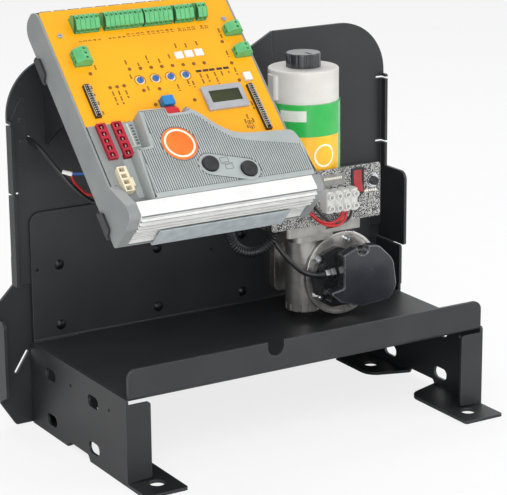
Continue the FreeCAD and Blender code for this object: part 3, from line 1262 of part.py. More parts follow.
def circuit_board():
    return slab(rectangle(CU_WALL, -SINK_TOP_T + 6, CU_W - 2 * CU_WALL - 1, 0.0, 1), "z",
                PCB_N, PCB_T)


def control_carrier():
    """Folded plate behind the housing with two hooks on each side."""
    n = -CU_DEPTH - CARRIER_T
    plate = slab(rectangle(4.0, -194.0, CU_W - 7.0, -22.0, 6), "z", n, CARRIER_T - SEAT)
    parts = [plate]
    for side in (-1, 1):
        s = -1.5 - SEAT if side < 0 else CU_W - 1.5 + SEAT
        for t in CLIP_T:
            reach = slab(rectangle(min(s + side * 2.5, s - side * 12), -t - CLIP_L,
                                   max(s + side * 2.5, s - side * 12), -t, 3), "z", n,
                         CARRIER_T - SEAT)
            hook = along_s([(t + 2, n, 1), (t + CLIP_L - 2, n, 1),
                            (t + CLIP_L - 6, n + CARRIER_T + CLIP_REACH, 4),
                            (t + 6, n + CARRIER_T + CLIP_REACH, 4)],
                           s if side > 0 else s - 2.5, 2.5)
            parts += [reach, hook]
            if t > 190.0:
                spine = rectangle(min(s - side * 6, s - side * 18), -t - 8, max(s - side * 6,
                                  s - side * 18), -190.0, 2)
                parts.append(slab(spine, "z", n, CARRIER_T - SEAT))
    return joined(parts)


def terminal_block(poles, s, t, upright):
    """Pluggable screw block: header below, stepped plug above, a screw and a wire hole a pole."""
    width, depth = poles * POLE, TERMINAL_D
    high = TERMINAL_H
    profile = [(0, PCB_N + PCB_T), (0, high - 5.0), (4.0, high, 0.5), (10.0, high, 0.5),
               (depth, high - 4.5, 0.5), (depth, PCB_N + PCB_T)]
    body = slab([(-u, v) + tuple(r) for u, v, *r in profile], "x", 0, width)
    for i in range(poles):
        x = POLE * (i + 0.5)
        body = body.cut(rod((x, -7.0, high - 3.0), 1.5, 5, "z"))
        hole = block((x - 1.7, -depth - 1, high - 9.5), (x + 1.7, -depth + 4.0, high - 5.8))
        body = body.cut(hole)
    if upright:
        body.rotate(V(0, 0, 0), V(0, 0, 1), -90)
        body.translate(V(s + depth, -t, 0))
    else:
        body.translate(V(s, -t + depth / 2, 0))
    return body


def power_connectors():
    """Two red shrouded connectors with a square way for each pole."""
    pieces = []
    for index in range(2):
        item = red_item(index)
        body = face_block(item, RED_H + 5.0, -5.0, 0.8)
        for i in range(RED_POLES):
            t = item[1] - item[3] / 2 + RED_PITCH * (i + 0.5)
            body = body.cut(face_block((item[0] - 0.6, t, RED_W - 4.4, RED_PITCH - 2.8), 6.0,
                                       RED_H - 5.0))
        pieces.append(body)
    return Part.Compound(pieces)


def battery_connector():
    item = cream_item()
    body = face_block(item, RED_H + 7.5, -5.0, 0.8)
    latch = face_block((item[0] + CREAM_W / 2 + 0.8, item[1] + 4.0, 2.6, 9.0), RED_H + 2.5, 0.02)
    body = body.fuse(latch).removeSplitter()
    for i in range(CREAM_POLES):
        t = item[1] - item[3] / 2 + CREAM_PITCH * (i + 0.5)
        body = body.cut(face_block((item[0] - 0.6, t, CREAM_W - 4.0, CREAM_PITCH - 2.2), 7.0,
                                   RED_H - 4.0))
    return body


def display_bezel():
    frame = face_block(BEZEL, BEZEL_H, 0.0, 1.5)
    edge = [e for e in frame.Edges if abs(e.CenterOfMass.z - BEZEL_H) < 0.01
            and e.BoundBox.ZLength < 0.01]
    frame = frame.makeChamfer(1.0, edge)
    return frame.cut(face_block(SCREEN, BEZEL_H + 2, -1.0))


def display_glass():
    return face_block(grown(SCREEN, -SEAT), BEZEL_H - 1.0, 0.02)


def key(item, height):
    low = -PLATE_T - 6.0
    cap = face_block(item, height - low, low, 0.8)
    edge = [e for e in cap.Edges if abs(e.CenterOfMass.z - height) < 0.01
            and e.BoundBox.ZLength < 0.01]
    return cap.makeFillet(0.6, edge)


def plug():
    """Red pull-out jumper with a finger groove."""
    body = face_block(PLUG, PLUG_H + PLATE_T + 3, -PLATE_T - 3, 2.0)
    scoop = rod((PLUG[0] - 12, -PLUG[1] + 7.5, PLUG_H + 3.5), 6.5, 24, "x")
    return body.cut(scoop)


def trimmer(s):
    """Adjuster with a screwdriver slot."""
    low = -PLATE_T - 3.0
    knob = rod((s, -TRIMMER_T, low), TRIMMER_R, TRIMMER_H - low, "z")
    cut = block((s - 0.5, -TRIMMER_T - TRIMMER_R - 1, TRIMMER_H - 1.2),
                (s + 0.5, -TRIMMER_T + TRIMMER_R + 1, TRIMMER_H + 1))
    return knob.cut(cut)


def push_button(index):
    s, t = BUTTON_AT[index]
    low = COVER_H - 8 + BUTTON_TRAVEL + RUN
    cap = rod((s, -t, low), BUTTON_R, COVER_H + BUTTON_H - low, "z")
    top = COVER_H + BUTTON_H
    edge = [e for e in cap.Edges if abs(e.CenterOfMass.z - top) < 0.01
            and e.BoundBox.ZLength < 0.01]
    cap = cap.makeFillet(1.2, edge)
    dish = Part.makeSphere(26.0, V(s, -t, top + 25.2))
    return cap.cut(dish)


def indicator_lenses():
    lenses = [rod((s, -t, 0.0), LED_R, LED_H, "z") for s, t in LED_AT]
    s, t, width, length = WINDOW
    for i in range(WINDOW_N):
        lenses.append(face_block((s + WINDOW_PITCH * i, t - 0.4 * i, width, length), 1.6, 0.0, 0.4))
    return Part.Compound(lenses)


def header_strips():
    strips = []
    for item in STRIPS:
        body = face_block(item, STRIP_H + PLATE_T + 4, -PLATE_T - 4)
        ways = int(item[3] // 8)
        for i in range(ways):
            t = item[1] - item[3] / 2 + item[3] * (i + 0.5) / ways
            body = body.cut(face_block((item[0], t, item[2] - 2.4, item[3] / ways - 2.2), 4.0,
                                       STRIP_H - 2.5))
        strips.append(body)
    return Part.Compound(strips)


def badge():
    disc = rod((BADGE_AT[0], -BADGE_AT[1], COVER_H), BADGE_R, BADGE_H, "z")
    edge = [e for e in disc.Edges if abs(e.CenterOfMass.z - COVER_H - BADGE_H) < 0.01
            and e.BoundBox.ZLength < 0.01]
    return disc.makeFillet(0.5, edge)


def faceplate_screws():
    screws = []
    for s, t in SCREW_AT:
        head = rod((s, -t, 0.0), SCREW_R, SCREW_H, "z")
        shank = rod((s, -t, -PLATE_T - 5), 1.5, PLATE_T + 5.5, "z")
        cross = block((s - 1.6, -t - 0.35, SCREW_H - 0.7), (s + 1.6, -t + 0.35, SCREW_H + 1))
        cross = cross.fuse(block((s - 0.35, -t - 1.6, SCREW_H - 0.7),
                                 (s + 0.35, -t + 1.6, SCREW_H + 1)))
        screws.append(joined([head, shank]).cut(cross))
    return Part.Compound(screws)


# ---------------------------------------------------------------- cables
def housing_back_z(y):
    """Height of the leaning housing's back face over a point of the ground plan."""
    lean = math.radians(CU_LEAN)
    t = (CU_Y - y + CU_DEPTH * math.cos(lean)) / math.sin(lean)
    return CU_Z - t * math.cos(lean) - CU_DEPTH * math.sin(lean)


def cable_entries():
    """Upright bores through the carrier and the housing's back for the two cables."""
    places = [(CONDUIT_ENTRY, CONDUIT_D), (ENCODER_ENTRY, ENCODER_D), (LEAD_ENTRY[0], LEAD_D),
              (LEAD_ENTRY[1], LEAD_D), (LEAD_ENTRY[2], FLEX_D)]
    bores = []
    for (x, y), diameter in places:
        z = housing_back_z(y)
        bores.append(rod((x, y, z - 30.0), diameter / 2 + SEAT, 36.0 + ENTRY_DEPTH, "z"))
    return Part.Compound(bores)


def encoder_cable():
    """Lead from the sensor cover up to the control unit."""
    x, y = ENCODER_ENTRY
    top = housing_back_z(y) + ENTRY_DEPTH
    points = [(SENSOR_X - 24.5, DISC_Y - 9.5, OUT_Z + 5), (66.0, 22.5, 135.5), (52.0, 23.0, 140.5),
              (40.0, 26.0, 152.0), (30.0, 32.0, 166.0), (23.0, 39.0, 182.0),
              (19.0, 43.0, 203.0), (10.0, 43.0, 228.0), (0.0, 39.0, 253.0),
              (x, y, 278.0), (x, y, top)]
    return cable(points, ENCODER_D, "encoder_cable")


def conduit():
    """Conduit that hangs in a U between the control unit and a tab behind the switch panel."""
    loop = CONDUIT_LOOP_R
    near = loop * math.tan(math.radians(22.5))
    middle = CONDUIT_X - loop
    left, y = CONDUIT_ENTRY
    top = housing_back_z(y) + ENTRY_DEPTH
    z = CONDUIT_LOOP_Z
    points = [(CONDUIT_X, y, CONDUIT_END_Z), (CONDUIT_X, y, z - near), (middle + near, y, z - loop),
              (middle - near, y, z - loop), (left, y, z - near), (left - 1.5, y, z + 30.0),
              (left, y, z + 70.0), (left, y, top)]
    return cable(points, CONDUIT_D, "conduit")


def switch_wires():
    """Two leads from the terminal strip back through the panel."""
    low = CHOC_Z - CHOC_H / 2
    wires = []
    for x in wire_places():
        y = PANEL_Y - CHOC_WIRE_Y
        points = [(x, y, low + 3.0), (x, y - 0.5, low - 5.0), (x - 7.0, y - 3.0, low - 11.0),
                  (x - 18.0, y - 4.0, low - 12.5), (x - 29.0, y - 3.0, low - 9.0),
                  (x - 37.0, y + 1.0, low - 1.0), (x - WIRE_RUN, PANEL_Y + PANEL_T, low + 6.0)]
        wires.append(cable(points, WIRE_D, "switch_wire"))
    return wires


def entry_run(index, lift):
    """Last point of a lead inside the housing, and the point below its bore."""
    x, y = LEAD_ENTRY[index]
    z = housing_back_z(y)
    return (x, y, z + ENTRY_DEPTH), (x, y, z - lift)


def rear_leads():
    """Two short leads joined by a crimp, and the flex that leaves through the back plate."""
    joint = V(-181.0, 67.0, 265.0)
    inside, below = entry_run(0, 24.0)
    blue = [inside, below, (-161.0, 44.0, 273.0), (-166.0, 55.0, 266.0), (joint.x + 5.0, 63.0, 265.0),
            tuple(joint)]
    inside, below = entry_run(1, 30.0)
    red = [inside, below, (-151.0, 50.0, 255.0), (-157.0, 58.0, 243.0), (-167.0, 62.0, 243.0),
           (-174.0, 65.5, 251.0), (-179.0, 67.5, 258.0), tuple(joint)]
    direction = V(-0.83, 0.5, 0.25)
    crimp = Part.makeCylinder(CRIMP_D / 2, CRIMP_L, joint - direction * 1.5, direction)
    inside, below = entry_run(2, 22.0)
    flex = [inside, below, (-137.0, 36.0, 266.0), (-141.0, 45.0, 245.0), (-150.0, 54.0, 233.0),
            (-163.0, 60.0, 236.0), (-176.0, 64.0, 247.0), (-187.0, 72.0, 262.0),
            (-194.0, 88.0, 277.0), (FLEX_HOLE[0], 107.0, 288.0),
            (FLEX_HOLE[0], REAR_Y, FLEX_HOLE[1])]
    leads = [cable(blue, LEAD_D, "blue_lead"), cable(red, LEAD_D, "red_lead")]
    return [leads[0].fuse(leads[1]).fuse(crimp), cable(flex, FLEX_D, "flex_lead")]


def wire_places():
    return [CHOC_X + CHOC_PITCH * (i + 0.5 - CHOC_POLES / 2) for i in (2, 3)]


# ---------------------------------------------------------------- write the pieces
def pieces():
    left = left_leg()
    yield "base_tray", base_tray()
    yield "left_leg", left
    yield "right_leg", mirrored(left)
    yield "rear_plate", rear_plate()
    yield "back_plate", back_plate()
    yield "control_brackets", control_brackets()
    yield "frame_bolts", frame_bolts()
    yield "gearbox_housing", gearbox_housing()
    yield "gearbox_disc", gearbox_disc()
    yield "gearbox_bolts", Part.Compound(gearbox_bolts().Solids + disc_bolts().Solids)
    yield "motor_flange", motor_flange()
    yield "motor_case", Part.Compound([motor_case()] + motor_magnets().Solids)
    yield "motor_cap", motor_cap()
    yield "rotor", rotor()
    yield "hand_knob", hand_knob()
    yield "bearings", bearings()
    yield "worm_wheel", worm_wheel()
    yield "output_shaft", output_shaft()
    yield "drive_pinion", drive_pinion()
    yield "pinion_nut", pinion_nut()
    yield "sensor_base", sensor_base()
    yield "sensor_lid", sensor_lid()
    yield "switch_panel", switch_panel()
    yield "switch_bezels", switch_bezels()
    yield "rocker", rocker()
    yield "breaker_button", breaker_button()
    yield "choc_block", choc_block()
    yield "control_housing", leant(control_housing()).cut(cable_entries())
    yield "control_carrier", leant(control_carrier()).cut(cable_entries())
    yield "circuit_board", leant(circuit_board())
    yield "faceplate", leant(faceplate())
    yield "ribbed_cover", leant(ribbed_cover())
    yield "heatsink", leant(heatsink())
    yield "heatsink_lip", leant(heatsink_lip())
    for poles, s in zip(TERMINAL_POLES, TERMINAL_S):
        yield "terminal_%d_pole" % poles, leant(terminal_block(poles, s, TERMINAL_ROW_T, False))
    yield "side_terminals", leant(Part.Compound(
        [terminal_block(n, s, t, True) for n, s, t in side_terminal_places()]))
    yield "power_connectors", leant(power_connectors())
    yield "battery_connector", leant(battery_connector())
    yield "display_bezel", leant(display_bezel())
    yield "display_glass", leant(display_glass())
    yield "blue_key", leant(key(BLUE_KEY, BLUE_KEY_H))
    yield "reset_key", leant(key(RESET_KEY, RESET_KEY_H))
    yield "red_plug", leant(plug())
    for index, s in enumerate(TRIMMER_S):
        yield "trimmer_%d" % (index + 1), leant(trimmer(s))
    yield "open_button", leant(push_button(0))
    yield "close_button", leant(push_button(1))
    yield "indicator_lenses", leant(indicator_lenses())
    yield "header_strips", leant(header_strips())
    yield "badge", leant(badge())
    yield "faceplate_screws", leant(faceplate_screws())
    yield "encoder_cable", encoder_cable()
    yield "conduit", conduit()
    yield "leads", Part.Compound(switch_wires() + rear_leads())


os.makedirs("parts", exist_ok=True)
for name, shape in pieces():
    bad = [s for s in shape.Solids if not s.isValid() or s.Volume <= 0]
    print("%-20s solids %d volume %.0f%s" % (name, len(shape.Solids), shape.Volume,
                                             "  INVALID" if bad else ""))
    shape.exportStep("parts/%s.step" % name)
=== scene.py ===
import json
import logging
import math
from dataclasses import dataclass, field
from enum import Enum

import bmesh
import bpy
import numpy as np
from mathutils import Matrix, Vector


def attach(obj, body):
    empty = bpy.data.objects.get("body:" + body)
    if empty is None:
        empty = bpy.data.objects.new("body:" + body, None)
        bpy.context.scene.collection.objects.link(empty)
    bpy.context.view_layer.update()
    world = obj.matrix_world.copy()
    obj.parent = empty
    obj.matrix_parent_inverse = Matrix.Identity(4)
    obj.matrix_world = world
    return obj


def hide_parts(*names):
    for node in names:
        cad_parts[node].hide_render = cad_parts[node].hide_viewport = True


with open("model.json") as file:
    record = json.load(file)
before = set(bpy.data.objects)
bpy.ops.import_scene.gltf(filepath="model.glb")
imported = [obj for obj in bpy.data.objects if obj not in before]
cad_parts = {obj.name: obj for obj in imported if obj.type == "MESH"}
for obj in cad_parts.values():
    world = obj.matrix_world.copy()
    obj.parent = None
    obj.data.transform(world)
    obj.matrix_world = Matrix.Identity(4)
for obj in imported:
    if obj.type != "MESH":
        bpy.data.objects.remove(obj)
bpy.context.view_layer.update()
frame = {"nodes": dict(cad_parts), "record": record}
LOG = logging.getLogger("sliding_gate_motor")
MM = 0.001
# Centres the turned rings at the output shaft's height, but on the motor's axis, 32.5 mm left of the shaft.
RING_SHIFT = (-0.072, 0.0, -0.1305)
Points = np.ndarray
Faces = list[tuple[int, ...]]


# ---------------------------------------------------------------- colour and node helpers
def linear(code: str) -> tuple[float, float, float, float]:
    """Turns an sRGB hex colour into linear light.

    Args:
        code: six hex digits after a hash.
    Returns:
        red, green, blue and an alpha of 1.
    """
    parts = [int(code[i:i + 2], 16) / 255 for i in (1, 3, 5)]
    return tuple(c / 12.92 if c <= 0.04045 else ((c + 0.055) / 1.055) ** 2.4 for c in parts) + (1.0,)


def add_node(tree: bpy.types.NodeTree, kind: str, settings: dict | None = None,
             links: dict | None = None) -> bpy.types.Node:
    """Adds one shader node with its settings and links.

    Args:
        tree: the node tree.
        kind: the node type without its ShaderNode prefix.
        settings: attributes, socket constants, or "stops" for a colour ramp.
        links: socket name or number to the socket that feeds it.
    Returns:
        the new node.
    """
    made = tree.nodes.new("ShaderNode" + kind)
    for name, value in (settings or {}).items():
        if name == "stops":
            ramp = made.color_ramp
            while len(ramp.elements) < len(value):
                ramp.elements.new(0.5)
            for element, (at, colour) in zip(ramp.elements, value):
                element.position = at
                element.color = linear(colour)
        elif isinstance(name, str) and hasattr(made, name):
            setattr(made, name, value)
        else:
            made.inputs[name].default_value = value
    for name, source in (links or {}).items():
        tree.links.new(source, made.inputs[name])
    return made


class Texture(Enum):
    """How the fine surface was made, which sets its bump."""

    MOULDED = "fine even grain of a moulding"
    PEEL = "orange peel of a baked powder"
    CAST = "sandy skin of a die casting"
    DRAWN = "long lines along X, left by a die"
    TURNED = "rings left by a turning tool"
    SMOOTH = "polished or glossy"


@dataclass(frozen=True)
class Finish:
    """One real material and how its surface was made.

    Sizes are in millimetres. The two colours change places over `mottle_mm`,
    `grain_mm` and `depth_mm` are the bump, and the colour mixed in along rounded edges is a painted highlight.
    """

    name: str
    colour: str
    second: str
    roughness: float
    metallic: float = 0.0
    ior: float = 1.5
    texture: Texture = Texture.MOULDED
    grain_mm: float = 0.6
    depth_mm: float = 0.02
    mottle_mm: float = 14.0
    edge: str = ""
    round_mm: float = 0.5
    coat: float = 0.0
    sheen_rough: float = 0.06

    def colour_socket(self, tree: bpy.types.NodeTree, place: bpy.types.NodeSocket) -> bpy.types.NodeSocket:
        """Two close shades mixed by a broad noise, as handled or baked surfaces show.

        Args:
            tree: the node tree.
            place: object coordinates in metres.
        Returns:
            the colour socket.
        """
        broad = add_node(tree, "TexNoise", {"Scale": 1000 / self.mottle_mm, "Detail": 3.0}, {"Vector": place})
        ramp = add_node(tree, "ValToRGB", {"stops": [(0.36, self.colour), (0.66, self.second)]},
                        {"Fac": broad.outputs["Fac"]})
        return ramp.outputs["Color"]

    def grain(self, tree: bpy.types.NodeTree, place: bpy.types.NodeSocket) -> bpy.types.NodeSocket:
        """The height of the fine surface, from 0 to 1.

        Args:
            tree: the node tree.
            place: object coordinates in metres.
        Returns:
            the height socket.
        """
        scale = 1000 / self.grain_mm
        if self.texture is Texture.DRAWN:
            stretched = add_node(tree, "Mapping", {"Scale": (0.015, 1.0, 1.0)}, {"Vector": place})
            return add_node(tree, "TexNoise", {"Scale": scale, "Detail": 2.0},
                            {"Vector": stretched.outputs[0]}).outputs["Fac"]
        if self.texture is Texture.TURNED:
            centred = add_node(tree, "Mapping", {"Location": RING_SHIFT}, {"Vector": place})
            return add_node(tree, "TexWave", {"wave_type": "RINGS", "rings_direction": "Y",
                                              "Scale": scale / 20, "Distortion": 0.6},
                            {"Vector": centred.outputs[0]}).outputs["Fac"]
        if self.texture is Texture.CAST:
            return add_node(tree, "TexVoronoi", {"Scale": scale, "feature": "SMOOTH_F1"},
                            {"Vector": place}).outputs["Distance"]
        return add_node(tree, "TexNoise", {"Scale": scale, "Detail": 2.0, "Roughness": 0.55},
                        {"Vector": place}).outputs["Fac"]

    def material(self) -> bpy.types.Material:
        """Builds the material.

        Returns:
            the finished node material.
        """
        made = bpy.data.materials.new(self.name)
        made.use_nodes = True
        tree = made.node_tree
        tree.nodes.clear()
        place = add_node(tree, "TexCoord").outputs["Object"]
        colour = self.colour_socket(tree, place)
        height = self.grain(tree, place)
        rounded = add_node(tree, "Bevel", {"samples": 4, "Radius": self.round_mm * MM})
        bump = add_node(tree, "Bump", {"Strength": 1.0, "Distance": self.depth_mm * MM},
                        {"Height": height, "Normal": rounded.outputs[0]})
        # Painted highlight: where the rounded normal turns from the flat one, the colour is mixed towards the
        # lighter colour given for edges.
        if self.edge:
            flat = add_node(tree, "NewGeometry")
            turn = add_node(tree, "VectorMath", {"operation": "DOT_PRODUCT"},
                            {0: rounded.outputs[0], 1: flat.outputs["Normal"]})
            highlight_mask = add_node(tree, "MapRange", {"From Min": 0.995, "From Max": 0.9, "To Max": 0.75},
                            {"Value": turn.outputs["Value"]})
            colour = add_node(tree, "MixRGB", {"Color2": linear(self.edge)},
                              {"Fac": highlight_mask.outputs[0], "Color1": colour}).outputs[0]
        wander = add_node(tree, "TexNoise", {"Scale": 1000 / (self.mottle_mm * 2.2), "Detail": 2.0},
                          {"Vector": place})
        rough = add_node(tree, "MapRange", {"To Min": max(0.02, self.roughness - self.sheen_rough),
                                            "To Max": self.roughness + self.sheen_rough},
                         {"Value": wander.outputs["Fac"]})
        settings = {"Metallic": self.metallic, "Coat Weight": self.coat, "Coat Roughness": 0.12}
        if not self.metallic:
            settings["IOR"] = self.ior
        shader = add_node(tree, "BsdfPrincipled", settings,
                          {"Base Color": colour, "Roughness": rough.outputs[0], "Normal": bump.outputs[0]})
        add_node(tree, "OutputMaterial", None, {"Surface": shader.outputs[0]})
        return made


@dataclass(frozen=True)
class SpeckledFinish(Finish):
    """Hammered two-tone lacquer on sheet: white flecks of about 1 mm over black."""

    fleck_mm: float = 1.15

    def colour_socket(self, tree: bpy.types.NodeTree, place: bpy.types.NodeSocket) -> bpy.types.NodeSocket:
        """Sharp light flecks where a fine noise passes a level.

        Args:
            tree: the node tree.
            place: object coordinates in metres.
        Returns:
            the colour socket.
        """
        fleck = add_node(tree, "TexNoise", {"Scale": 1000 / self.fleck_mm, "Detail": 3.0, "Roughness": 0.7},
                         {"Vector": place})
        return add_node(tree, "ValToRGB", {"stops": [(0.49, self.colour), (0.55, self.second)]},
                        {"Fac": fleck.outputs["Fac"]}).outputs["Color"]


@dataclass(frozen=True)
class ClearPlastic(Finish):
    """A clear or milky plastic that lets some light through."""

    clear: float = 0.4

    def material(self) -> bpy.types.Material:
        """The base material with transmission set on its shader.

        Returns:
            the finished node material.
        """
        made = super().material()
        shader = next(n for n in made.node_tree.nodes if n.type == "BSDF_PRINCIPLED")
        shader.inputs["Transmission Weight"].default_value = self.clear
        return made


# ---------------------------------------------------------------- what each named slot is made of
# The lighter colour given for each finish's edges is a painted highlight, mixed in along its rounded corners.
FINISHES: dict[str, Finish] = {
    # Steel sheet under satin black polyester powder: dark, softly glossy, fine orange peel.
    "frame_steel": Finish("powder_coated_steel", "#222325", "#292a2d", 0.42, texture=Texture.PEEL,
                          grain_mm=1.4, depth_mm=0.03, mottle_mm=60, edge="#5c6067", round_mm=0.7),
    # Black-oxide steel bolts: darker than the powder and a little glossier.
    "black_bolts": Finish("black_oxide_steel", "#17181a", "#232427", 0.35, 0.6, depth_mm=0.01,
                          edge="#5c5f63", round_mm=0.3),
    # Die-cast aluminium, left as cast: pale grey, sandy, dull.
    "cast_alloy": Finish("die_cast_aluminium", "#a9a8a4", "#8b8a86", 0.36, 0.85, texture=Texture.CAST,
                         grain_mm=1.1, depth_mm=0.05, mottle_mm=18, edge="#deddd9", round_mm=0.9),
    # Turned aluminium face: bright with fine rings round the shaft.
    "machined_alloy": Finish("turned_aluminium", "#cfcdc8", "#b0aea9", 0.28, 0.9, texture=Texture.TURNED,
                             grain_mm=0.9, depth_mm=0.02, mottle_mm=12, edge="#ffffff", round_mm=0.9),
    # Zinc-plated screws: bluish bright metal.
    "zinc_screws": Finish("zinc_plated_steel", "#c9ccd0", "#a5a8ac", 0.25, 1.0, depth_mm=0.008,
                          mottle_mm=4, edge="#f0f1f2", round_mm=0.2),
    # Printed vinyl on a drawn steel can: glossy grass green.
    "motor_case": Finish("green_vinyl_wrap", "#1fae4a", "#35b84e", 0.25, depth_mm=0.006, grain_mm=0.8,
                         mottle_mm=30, coat=0.3),
    # Moulded ABS end cap: warm pale grey, satin.
    "motor_cap": Finish("moulded_grey_abs", "#dbd8d3", "#d2cec9", 0.38, depth_mm=0.012, mottle_mm=25,
                        edge="#e9e6e2", round_mm=0.8),
    # Ground shaft steel.
    "shaft_steel": Finish("ground_steel", "#a5a6a8", "#8d8e90", 0.28, 1.0, depth_mm=0.006, mottle_mm=8),
    # Glossy dark nylon knob.
    "dark_plastic": Finish("glossy_black_nylon", "#2a2c31", "#222428", 0.2, depth_mm=0.004, mottle_mm=10,
                           edge="#6c7078", round_mm=0.6, coat=0.4),
    # Gear bronze, cut and oiled.
    "bronze": Finish("gear_bronze", "#b07a3c", "#8f5f2c", 0.32, 1.0, depth_mm=0.01, mottle_mm=9),
    # Zinc-coated steel pinion, faintly oily.
    "pinion_steel": Finish("plated_pinion_steel", "#a9a79f", "#8a8880", 0.32, 1.0, depth_mm=0.015,
                           mottle_mm=9, edge="#d4d2ca", round_mm=0.4),
    # Moulded black ABS.
    "black_plastic": Finish("moulded_black_abs", "#1b1c1f", "#222327", 0.36, depth_mm=0.012,
                            edge="#54575c", round_mm=0.4),
    # Sensor lid: slate-black moulding with a soft gloss.
    "lid_plastic": Finish("slate_black_abs", "#26282e", "#2f3138", 0.26, depth_mm=0.01, mottle_mm=22,
                          edge="#a9adb6", round_mm=1.0, coat=0.2),
    # Black and white hammered lacquer on the switch panel.
    "speckled_sheet": SpeckledFinish("hammered_lacquer", "#161616", "#c9c9c6", 0.34, texture=Texture.PEEL,
                                     grain_mm=1.5, depth_mm=0.12, edge="#dcdcd8", round_mm=0.3),
    # Red translucent rocker.
    "rocker_red": Finish("red_polycarbonate", "#a81c26", "#8f141d", 0.2, depth_mm=0.003, edge="#ff6a6a",
                         round_mm=0.5, coat=0.4),
    # Natural nylon strip connector: milky, a little clear.
    "clear_nylon": ClearPlastic("natural_nylon", "#f1f1ee", "#e4e5e2", 0.3, depth_mm=0.01, clear=0.25,
                                 edge="#ffffff", round_mm=0.6),
    # Grey ABS housing, fine spark-eroded grain.
    "housing_grey": Finish("moulded_grey_abs_dark", "#8f9392", "#868a8a", 0.42, depth_mm=0.02, grain_mm=0.8,
                           mottle_mm=40, edge="#b3b8b9", round_mm=0.8),
    # Zinc-plated sheet: blue-grey and dulled, with a faint spangle.
    "zinc_sheet": Finish("zinc_plated_sheet", "#bcc4c8", "#abb3b8", 0.42, 0.15, depth_mm=0.01, mottle_mm=9,
                         edge="#d4dadd", round_mm=0.3),
    # Glass-epoxy circuit board.
    "board_green": Finish("solder_mask", "#0f4d33", "#155c3d", 0.3, depth_mm=0.01),
    # Yellow printed polycarbonate faceplate, satin.
    "face_yellow": Finish("yellow_polycarbonate", "#fbb008", "#f8a904", 0.36, depth_mm=0.006, grain_mm=1.0,
                          mottle_mm=70, edge="#ffd257", round_mm=0.4),
    # Lighter grey ABS of the raised cover.
    "cover_grey": Finish("moulded_light_grey_abs", "#a9b0af", "#a0a7a6", 0.4, depth_mm=0.012, grain_mm=0.8,
                         mottle_mm=45, edge="#c8ced0", round_mm=0.7),
    # Extruded aluminium, satin anodised: pale and mostly matt, with die lines along its length.
    "bare_aluminium": Finish("extruded_aluminium", "#ebebe9", "#e2e2e0", 0.46, 0.1, texture=Texture.DRAWN,
                             grain_mm=0.5, depth_mm=0.02, mottle_mm=16, edge="#ffffff", round_mm=0.5),
    # Green polyamide terminals, matt.
    "terminal_green": Finish("green_polyamide", "#66bd7c", "#58b070", 0.42, depth_mm=0.01, mottle_mm=8,
                             edge="#8fdcaa", round_mm=0.35),
    # Red polyamide power headers.
    "connector_red": Finish("red_polyamide", "#b5152f", "#a20f28", 0.38, depth_mm=0.01, mottle_mm=8,
                            edge="#e5506a", round_mm=0.35),
    # Natural nylon battery header.
    "connector_cream": Finish("cream_nylon", "#efe5c9", "#e5d9ba", 0.4, depth_mm=0.01, mottle_mm=8,
                              edge="#fff8e4", round_mm=0.35),
    # Silver-painted display surround.
    "bezel_grey": Finish("silver_grey_abs", "#aeb0b4", "#a2a4a9", 0.35, 0.2, depth_mm=0.006, mottle_mm=12,
                         edge="#d2d4d8", round_mm=0.4),
    # Unlit reflective display under glass: olive black.
    "display_green": Finish("liquid_crystal_glass", "#2b330b", "#1e2507", 0.3, texture=Texture.SMOOTH,
                            depth_mm=0.001, mottle_mm=30),
    # Moulded keys.
    "key_blue": Finish("blue_abs", "#2486c8", "#1c78b8", 0.33, depth_mm=0.008, mottle_mm=6, edge="#6fb7e6"),
    "key_white": Finish("white_abs", "#f3f3f0", "#e9e9e5", 0.33, depth_mm=0.006, mottle_mm=6),
    # Red PVC plug body.
    "plug_red": Finish("red_pvc", "#d8232b", "#bf1a22", 0.35, depth_mm=0.01, mottle_mm=5, edge="#ff7a6c",
                       round_mm=0.8),
    # Blue diallyl phthalate trimmers.
    "trimmer_blue": Finish("blue_trimmer_moulding", "#3d6fb6", "#2f5ea3", 0.35, depth_mm=0.005, mottle_mm=3,
                           edge="#8fb4e4", round_mm=0.4),
    # Silicone rubber buttons: deep black and dull, with a soft painted highlight along their edges.
    "button_rubber": Finish("black_silicone", "#101112", "#16181a", 0.55, depth_mm=0.012, mottle_mm=6,
                            edge="#3c4044", round_mm=0.9),
    # White diffuser windows.
    "lens_white": Finish("opal_acrylic", "#f6f5f0", "#ecebe5", 0.25, depth_mm=0.002, mottle_mm=5),
    # Header strips: black moulding.
    "strip_dark": Finish("black_header_moulding", "#2b2926", "#38352f", 0.4, depth_mm=0.008, mottle_mm=5,
                         edge="#6b675e", round_mm=0.3),
    # Orange badge foil, bare.
    "badge_orange": Finish("orange_foil", "#f47a16", "#f0690c", 0.3, depth_mm=0.004, mottle_mm=20, coat=0.3),
    # PVC cable jackets.
    "cable_black": Finish("black_pvc_jacket", "#18191b", "#202124", 0.4, depth_mm=0.01, mottle_mm=12),
    "conduit_black": Finish("black_polyamide_conduit", "#151618", "#1d1e21", 0.34, depth_mm=0.008,
                            mottle_mm=14, edge="#3d4045", round_mm=0.4),
    "wire_red": Finish("red_pvc_wire", "#c21f26", "#ab171e", 0.35, depth_mm=0.005, mottle_mm=9),
}
